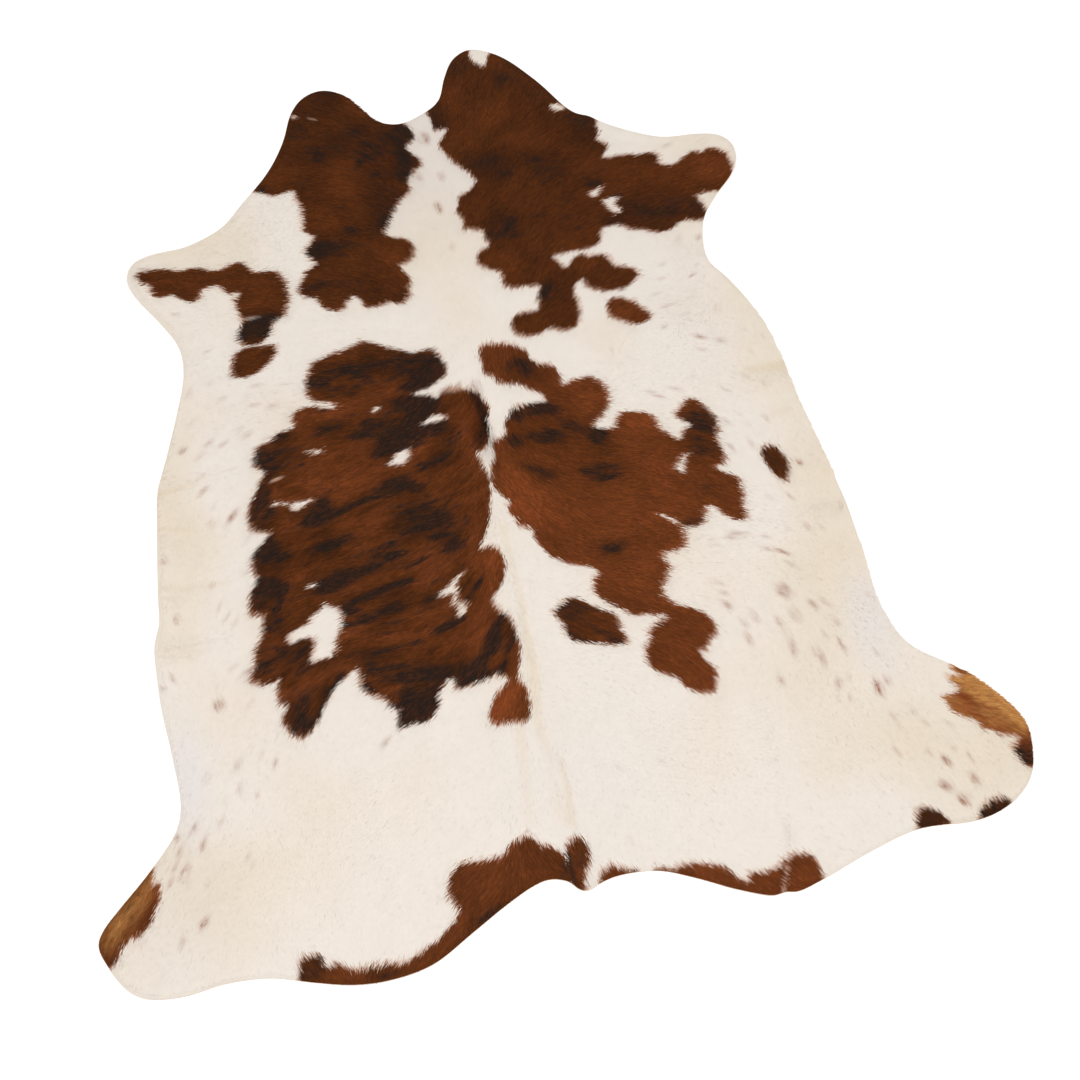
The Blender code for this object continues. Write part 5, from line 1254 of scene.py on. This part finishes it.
def hairTree(material):
    tree = bpy.data.node_groups.new("growHair", "GeometryNodeTree")
    nodes = Nodes(tree)
    tree.interface.new_socket("Geometry", in_out="INPUT", socket_type="NodeSocketGeometry")
    for name, kind in (
        ("Blade", "NodeSocketObject"), ("Density", "NodeSocketFloat"), ("Turn", "NodeSocketFloat"),
        ("Roll", "NodeSocketFloat"), ("Tilt", "NodeSocketFloat"), ("Seed", "NodeSocketInt"),
    ):
        tree.interface.new_socket(name, in_out="INPUT", socket_type=kind)
    tree.interface.new_socket("Geometry", in_out="OUTPUT", socket_type="NodeSocketGeometry")
    source = tree.nodes.new("NodeGroupInput")
    given = {socket.name: Term(nodes, socket) for socket in source.outputs if socket.name}

    def named(name, kind="FLOAT"):
        return nodes.node("GeometryNodeInputNamedAttribute", {"data_type": kind}, {"Name": name})

    def chance(low, high, step):
        inputs = {2: low, 3: high, "Seed": given["Seed"] + step}
        return nodes.node("FunctionNodeRandomValue", {"data_type": "FLOAT"}, inputs, 1)

    spread = nodes.node(
        "GeometryNodeDistributePointsOnFaces",
        {"distribute_method": "RANDOM"},
        {"Mesh": given["Geometry"], "Density": given["Density"] * named("growth"), "Seed": given["Seed"]},
    )
    normal = Term(nodes, spread.socket.node.outputs["Normal"])
    upright = nodes.node("FunctionNodeAlignRotationToVector", {"axis": "Z"}, {"Vector": normal})
    lying = nodes.node(
        "FunctionNodeAlignRotationToVector",
        {"axis": "X", "pivot_axis": "Z"},
        {"Rotation": upright, "Vector": named("hairWay", "FLOAT_VECTOR")},
    )
    stray = nodes.node("ShaderNodeCombineXYZ", (), {
        "X": given["Roll"] * chance(-1.0, 1.0, 1),
        "Y": given["Tilt"] * chance(-1.0, 1.0, 2) - named("lift"),
        "Z": given["Turn"] * (chance(-1.0, 1.0, 3) + chance(-1.0, 1.0, 4)),
    })
    turn = nodes.node("FunctionNodeEulerToRotation", (), {0: stray})
    settled = nodes.node(
        "FunctionNodeRotateRotation",
        {"rotation_space": "LOCAL"},
        {"Rotation": lying, "Rotate By": turn},
    )
    long = named("hairLength") * chance(0.75, 1.2, 5)
    wide = named("hairWidth") * chance(0.8, 1.2, 6)
    size = nodes.node("ShaderNodeCombineXYZ", (), {"X": long, "Y": wide, "Z": chance(0.7, 1.2, 7)})
    bladeShape = nodes.node(
        "GeometryNodeObjectInfo",
        {"transform_space": "ORIGINAL"},
        {"Object": given["Blade"]},
        "Geometry",
    )
    grown = nodes.node(
        "GeometryNodeInstanceOnPoints",
        (),
        {"Points": spread, "Instance": bladeShape, "Rotation": settled, "Scale": size},
    )
    real = nodes.node("GeometryNodeRealizeInstances", (), {"Geometry": grown})
    coated = nodes.node("GeometryNodeSetMaterial", (), {"Geometry": real, "Material": material})
    nodes.node("NodeGroupOutput", (), {"Geometry": coated})
    return tree


# Screen values. Browns run from tone 0, deep brown, to tone 1, red chestnut.
coatColours = {
    "browns": [(0.0, (54, 27, 9)), (0.35, (79, 39, 11)), (0.7, (99, 50, 21)), (1.0, (122, 60, 27))],
    "tan": (177, 124, 69),
    # near-black hair, also the colour of the painted crease shadows
    "dark": (33, 24, 19),
    "white": (220, 211, 201),
    # warm cream, also the colour of the painted crease and fold shade
    "warm": (211, 195, 170),
    # grey of a thin coat, also the painted shade at the neck and the left hind lobe
    "thin": (212, 206, 205),
    # ticking, also the colour of the painted grey crease shade
    "tick": (144, 92, 71),
    "fringe": (190, 128, 90),  # where brown and white hair mix
    "suede": (196, 170, 146),
    "paleSuede": (222, 202, 180),
}


def shownColour(name):
    return colour(*coatColours[name])


def coatMaterial(name, undercoat=False):
    material, nodes = newMaterial(name)
    dark, tan, tick, warm, thin = [nodes.attribute(part) for part in ("dark", "tan", "tick", "warm", "thin")]
    stops = [(place, colour(*brown)) for place, brown in coatColours["browns"]]
    browns = nodes.node("ShaderNodeValToRGB", {"stops": stops}, {"Fac": nodes.attribute("tone")})
    browns = nodes.blend(tan, browns, shownColour("tan"))
    # near-black hair of the brindle, and painted shadow in the dark crease lines
    browns = nodes.blend(dark, browns, shownColour("dark"))
    # warm cream, and painted shade in the crease and fold lines
    whites = nodes.blend(warm, shownColour("white"), shownColour("warm"))
    # greyer white: a thin coat, and painted shade where the chart puts it
    whites = nodes.blend(thin * 0.65, whites, shownColour("thin"))
    # ticking, and painted shade in the grey crease lines
    whites = nodes.blend(tick, whites, shownColour("tick"))
    brown = nodes.attribute("brown")
    coat = nodes.blend(brown, whites, browns)
    fringe = brown * (1.0 - brown) * (1.0 - dark)
    coat = nodes.blend(1.6 * fringe, coat, shownColour("fringe"))
    if undercoat:
        coat = nodes.scaled(coat, 1.0 + 0.01 * nodes.attribute("tuft"))
        place = nodes.node("ShaderNodeTexCoord", (), (), "Object")
        grain = nodes.node("ShaderNodeTexNoise", (), {"Vector": place, "Scale": 900.0, "Detail": 3.0})
        bump = nodes.node("ShaderNodeBump", (), {"Strength": 0.2, "Distance": 0.0004, "Height": grain})
        inputs = {"Base Color": coat, "Roughness": 0.75 + 0.1 * grain, "Normal": bump}
    else:
        lot = nodes.attribute("lot")
        uneven = brown * 0.44 + 0.03
        alongBlade = 0.03 * nodes.attribute("along")
        coat = nodes.scaled(coat, 1.0 + uneven * (lot - 0.5) + alongBlade + 0.006 * nodes.attribute("tuft"))
        inputs = {"Base Color": coat, "Roughness": 0.55 + 0.16 * lot}
    inputs.update({"Specular IOR Level": 0.05})
    surface = nodes.node("ShaderNodeBsdfPrincipled", (), inputs)
    nodes.node("ShaderNodeOutputMaterial", (), {"Surface": surface})
    return material


def suedeMaterial():
    material, nodes = newMaterial("suedeBack")
    place = nodes.node("ShaderNodeTexCoord", (), (), "Object")
    napInputs = {"Vector": place, "Scale": 700.0, "Detail": 4.0, "Roughness": 0.7}
    nap = nodes.node("ShaderNodeTexNoise", (), napInputs)
    cloud = nodes.node("ShaderNodeTexNoise", (), {"Vector": place, "Scale": 9.0, "Detail": 3.0})
    suede = nodes.blend(cloud, shownColour("suede"), shownColour("paleSuede"))
    suede = nodes.scaled(suede, 0.85 + 0.3 * nap)
    bump = nodes.node("ShaderNodeBump", (), {"Strength": 0.5, "Distance": 0.0007, "Height": nap})
    inputs = {"Base Color": suede, "Roughness": 0.8 + 0.15 * nap, "Normal": bump}
    inputs.update({"Specular IOR Level": 0.2, "Sheen Weight": 0.3, "Sheen Roughness": 0.6})
    surface = nodes.node("ShaderNodeBsdfPrincipled", (), inputs)
    nodes.node("ShaderNodeOutputMaterial", (), {"Surface": surface})
    return material


hairCoat = coatMaterial("hairCoat")
hideSkin.data.materials.append(coatMaterial("undercoat", True))
hideSkin.data.materials.append(suedeMaterial())
grow = hairTree(hairCoat)

hairX, hairY = topFlat[:, 0] * 100, topFlat[:, 1] * 100
towardsX, towardsY = readField(wayX, hairX, hairY), readField(wayY, hairX, hairY)
slopeY, slopeX = np.gradient(rimGap, gridStep)
outwards = -(towardsX * readField(slopeX, hairX, hairY) + towardsY * readField(slopeY, hairX, hairY))
gapHere = np.maximum(readField(rimGap, hairX, hairY), 0)
reach = hair["length"] * 120 * np.maximum(outwards, 0.02)  # how far the longest blades get, in centimetres
hairLength = np.clip((gapHere + hair["overRim"]) / reach, 0.08, 1)
hairLength *= 1 - hair["thinShorter"] * readField(fields["thin"], hairX, hairY)
brownHere = readField(brownDepth, hairX, hairY)
nearBorder = np.exp(-((brownHere / hair["border"]) ** 2))
hairLength *= 1 - hair["borderShorter"] * nearBorder
hairWidth = 1 - hair["borderFiner"] * nearBorder + hair["whiteWider"] * easing(-0.8, -2.5, brownHere)
hairWidth = hairWidth - hair["rimFiner"] * np.exp(-gapHere / 0.6)
growth = easing(0.0, 0.25, gapHere) * (1 + hair["borderDenser"] * nearBorder)
lift = hair["lift"] + hair["crestLift"] * readField(painted([hair["crest"]]), hairX, hairY)

faceArea = np.abs(doubleAreas(topFlat, topFaces)) / 2
order = np.argsort(-topFlat[topFaces].mean(1)[:, 1])  # faces from the neck to the rump
share = np.cumsum(faceArea[order]) / faceArea.sum()
totalArea = faceArea.sum()
print(f"flat area {totalArea:.3f} square metres")


def planarMap(piece, low, high):  # one flat picture of the piece from above, for its baked colours
    mesh = piece.data
    corner = np.empty(len(mesh.loops), np.int32)
    mesh.loops.foreach_get("vertex_index", corner)
    spot = np.empty(3 * len(mesh.vertices), np.float32)
    mesh.vertices.foreach_get("co", spot)
    spot = spot.reshape(-1, 3)[corner, :2]
    layer = mesh.uv_layers.new(name="OFBake")
    layer.data.foreach_set("uv", (0.004 + 0.992 * (spot - low) / (high - low)).astype(np.float32).reshape(-1))


def skinSlope(points):
    step = 0.012
    x, y = points[:, 0], points[:, 1]
    across = readHeight(topHeight, x - step, y) - readHeight(topHeight, x + step, y)
    along = readHeight(topHeight, x, y - step) - readHeight(topHeight, x, y + step)
    return np.column_stack([across, along]) / (2 * step)


def growPiece(name, chosen, density, seed):  # blades on the chosen faces of the skin's top
    used, local = np.unique(topFaces[chosen], return_inverse=True)
    ground = meshPiece(name + "Ground", skinPoints[used], local.reshape(-1, 3))
    ground.data.shade_smooth()
    numbers = {"growth": growth, "hairLength": hairLength, "hairWidth": hairWidth, "lift": lift}
    storeNumbers(ground.data, {part: value[used] for part, value in numbers.items()})
    ways = np.column_stack([towardsX[used], towardsY[used], 0 * used]).astype(np.float32)
    way = ground.data.attributes.new("hairWay", "FLOAT_VECTOR", "POINT")
    way.data.foreach_set("vector", ways.reshape(-1))
    modifier = ground.modifiers.new("grow", "NODES")
    modifier.node_group = grow
    sizes = {
        "Blade": blade, "Density": density, "Turn": hair["turn"],
        "Roll": hair["roll"], "Tilt": hair["tilt"], "Seed": seed,
    }
    for socket in grow.interface.items_tree:
        if socket.in_out == "INPUT" and socket.name in sizes:
            modifier[socket.identifier] = sizes[socket.name]
    evaluated = ground.evaluated_get(bpy.context.evaluated_depsgraph_get())
    mesh = bpy.data.meshes.new_from_object(evaluated)
    mesh.name = name
    piece = bpy.data.objects.new(name, mesh)
    scene.collection.objects.link(piece)
    bpy.data.objects.remove(ground)
    for attribute in [a.name for a in mesh.attributes if a.name in (*numbers, "hairWay")]:
        mesh.attributes.remove(mesh.attributes[attribute])
    return piece


def liftedSpots(mesh):  # the blades' corners, four to a blade, moved up with the relief of the coat
    spots = np.empty(3 * len(mesh.vertices), np.float32)
    mesh.vertices.foreach_get("co", spots)
    spots = spots.reshape(-1, 4, 3)
    spots[:, :, 2] += readField(relief, spots[:, :, 0] * 100, spots[:, :, 1] * 100) / 100
    mesh.vertices.foreach_set("co", spots.astype(np.float32).reshape(-1))
    return spots


def paintBlades(mesh, spots):  # what the coat is under each blade, a little different on every one
    root, middle, tip = spots[:, 0] * 100, spots[:, 1:3].mean(1) * 100, spots[:, 3] * 100
    count = len(spots)
    jitter = dice.normal(0, hair["outlineStray"], count)
    coat = coatAt(middle[:, 0], middle[:, 1], jitter)
    coat["dark"] = np.clip(coat["dark"] * (1 + hair["darkStray"] * (dice.random(count) - 0.5)), 0, 1)
    coat["tone"] = np.clip(coat["tone"] + hair["toneStray"] * (dice.random(count) - 0.5), 0, 1)
    coat["tan"] = np.clip(coat["tan"] * (1 + hair["tanStray"] * (dice.random(count) - 0.5)), 0, 1)
    coat["lot"] = dice.random(count)
    own = coat["brown"]
    coat = {part: np.repeat(value, 4) for part, value in coat.items()}
    atRoot = 0.6 * own + 0.4 * brownAt(root[:, 0], root[:, 1], jitter)
    atTip = 0.5 * own + 0.5 * brownAt(tip[:, 0], tip[:, 1], jitter)
    coat["brown"] = np.column_stack([atRoot, own, own, atTip]).reshape(-1)
    slide = dice.uniform(-hair["tickAndShadeSlide"], hair["tickAndShadeSlide"], count)[:, None, None]
    slid = (spots[:, :, :2] + slide * (spots[:, 3:, :2] - spots[:, :1, :2])) * 100
    # ticking, with the painted shade of the grey crease lines
    tickedAndShaded = readField(fields["tick"], slid[:, :, 0], slid[:, :, 1])
    coat["tick"] = np.clip(tickedAndShaded * dice.uniform(*hair["tickAndShadeStray"], count)[:, None], 0, 1).reshape(-1)
    coat["along"] = np.tile([0.0, 0.45, 0.45, 1.0], count)
    storeNumbers(mesh, coat)


def shadeBlades(mesh, spots):  # normals between each blade's own and the skin's below it
    middle = spots[:, 1:3].mean(1) * 100
    own = np.cross(spots[:, 1] - spots[:, 0], spots[:, 2] - spots[:, 0])
    own /= np.linalg.norm(own, axis=1)[:, None]
    rolling = np.column_stack([readField(part, middle[:, 0], middle[:, 1]) for part in (reliefX, reliefY)])
    below = np.column_stack([skinSlope(middle / 100) - rolling, np.ones(len(spots))])
    leaning = hair["ownShade"] * own + (1 - hair["ownShade"]) * below / np.linalg.norm(below, axis=1)[:, None]
    leaning /= np.linalg.norm(leaning, axis=1)[:, None]
    mesh.normals_split_custom_set_from_vertices(np.repeat(leaning, 4, axis=0).tolist())


parts = len(hair["pieces"])
density = hair["perPiece"] / (totalArea / parts)
hairPieces = []
for index, name in enumerate(hair["pieces"]):
    chosen = order[(share > index / parts) & (share <= (index + 1) / parts)]
    piece = growPiece(name, chosen, density, hair["seed"] + index)
    spots = liftedSpots(piece.data)
    paintBlades(piece.data, spots)
    flat = spots[:, :, :2].reshape(-1, 2)
    planarMap(piece, flat.min(0), flat.max(0))
    shadeBlades(piece.data, spots)
    hairPieces.append(piece)
    report(f"{name}, {len(spots)} blades")

# What the rug is, for the frame.
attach(hideSkin, "root")
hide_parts("hide")
for piece in hairPieces:
    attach(piece, "root")

# Floor, light and camera.

studio = {
    "floorSize": 40.0,
    "worldLight": 0.85,
    "keyPower": 120.0,
    "keyPlace": (-0.2, -1.7, 5.2),
    "keySize": 3.0,
    "cameraPlace": (-0.2273, -1.6078, 2.7631),
    "cameraDown": 64.0,
    "cameraTurn": 12.56,
    "lens": 46.67,
}

half = studio["floorSize"] / 2
floorCorners = np.array([(-half, -half, 0), (half, -half, 0), (half, half, 0), (-half, half, 0)])
floor = meshPiece("floor", floorCorners, np.array([(0, 1, 2, 3)]))
floorPaint, nodes = newMaterial("floorPaint")
paint = {"Base Color": colour(255, 255, 255), "Roughness": 0.9, "Specular IOR Level": 0.1}
surface = nodes.node("ShaderNodeBsdfPrincipled", (), paint)
nodes.node("ShaderNodeOutputMaterial", (), {"Surface": surface})
floor.data.materials.append(floorPaint)

world = bpy.data.worlds.new("studio")
scene.world = world
world.use_nodes = True
background = world.node_tree.nodes["Background"]
background.inputs["Color"].default_value = (1, 1, 1, 1)
background.inputs["Strength"].default_value = studio["worldLight"]


def softLight(name, place, target, size, power):
    light = bpy.data.lights.new(name, "AREA")
    light.shape = "DISK"
    light.size, light.energy = size, power
    lamp = bpy.data.objects.new(name, light)
    lamp.location = place
    lamp.rotation_mode = "QUATERNION"
    lamp.rotation_quaternion = (Vector(target) - Vector(place)).to_track_quat("-Z", "Y")
    scene.collection.objects.link(lamp)


softLight("keyLight", studio["keyPlace"], (0, -0.2, 0), studio["keySize"], studio["keyPower"])

camera = bpy.data.objects.new("camera", bpy.data.cameras.new("camera"))
camera.data.lens = studio["lens"]
camera.data.sensor_width = 36.0
camera.location = studio["cameraPlace"]
down, turn = math.radians(studio["cameraDown"]), math.radians(studio["cameraTurn"])
looks = Vector((math.sin(turn) * math.cos(down), math.cos(turn) * math.cos(down), -math.sin(down)))
camera.rotation_mode = "QUATERNION"
camera.rotation_quaternion = looks.to_track_quat("-Z", "Y")
scene.collection.objects.link(camera)
scene.camera = camera
report("studio")
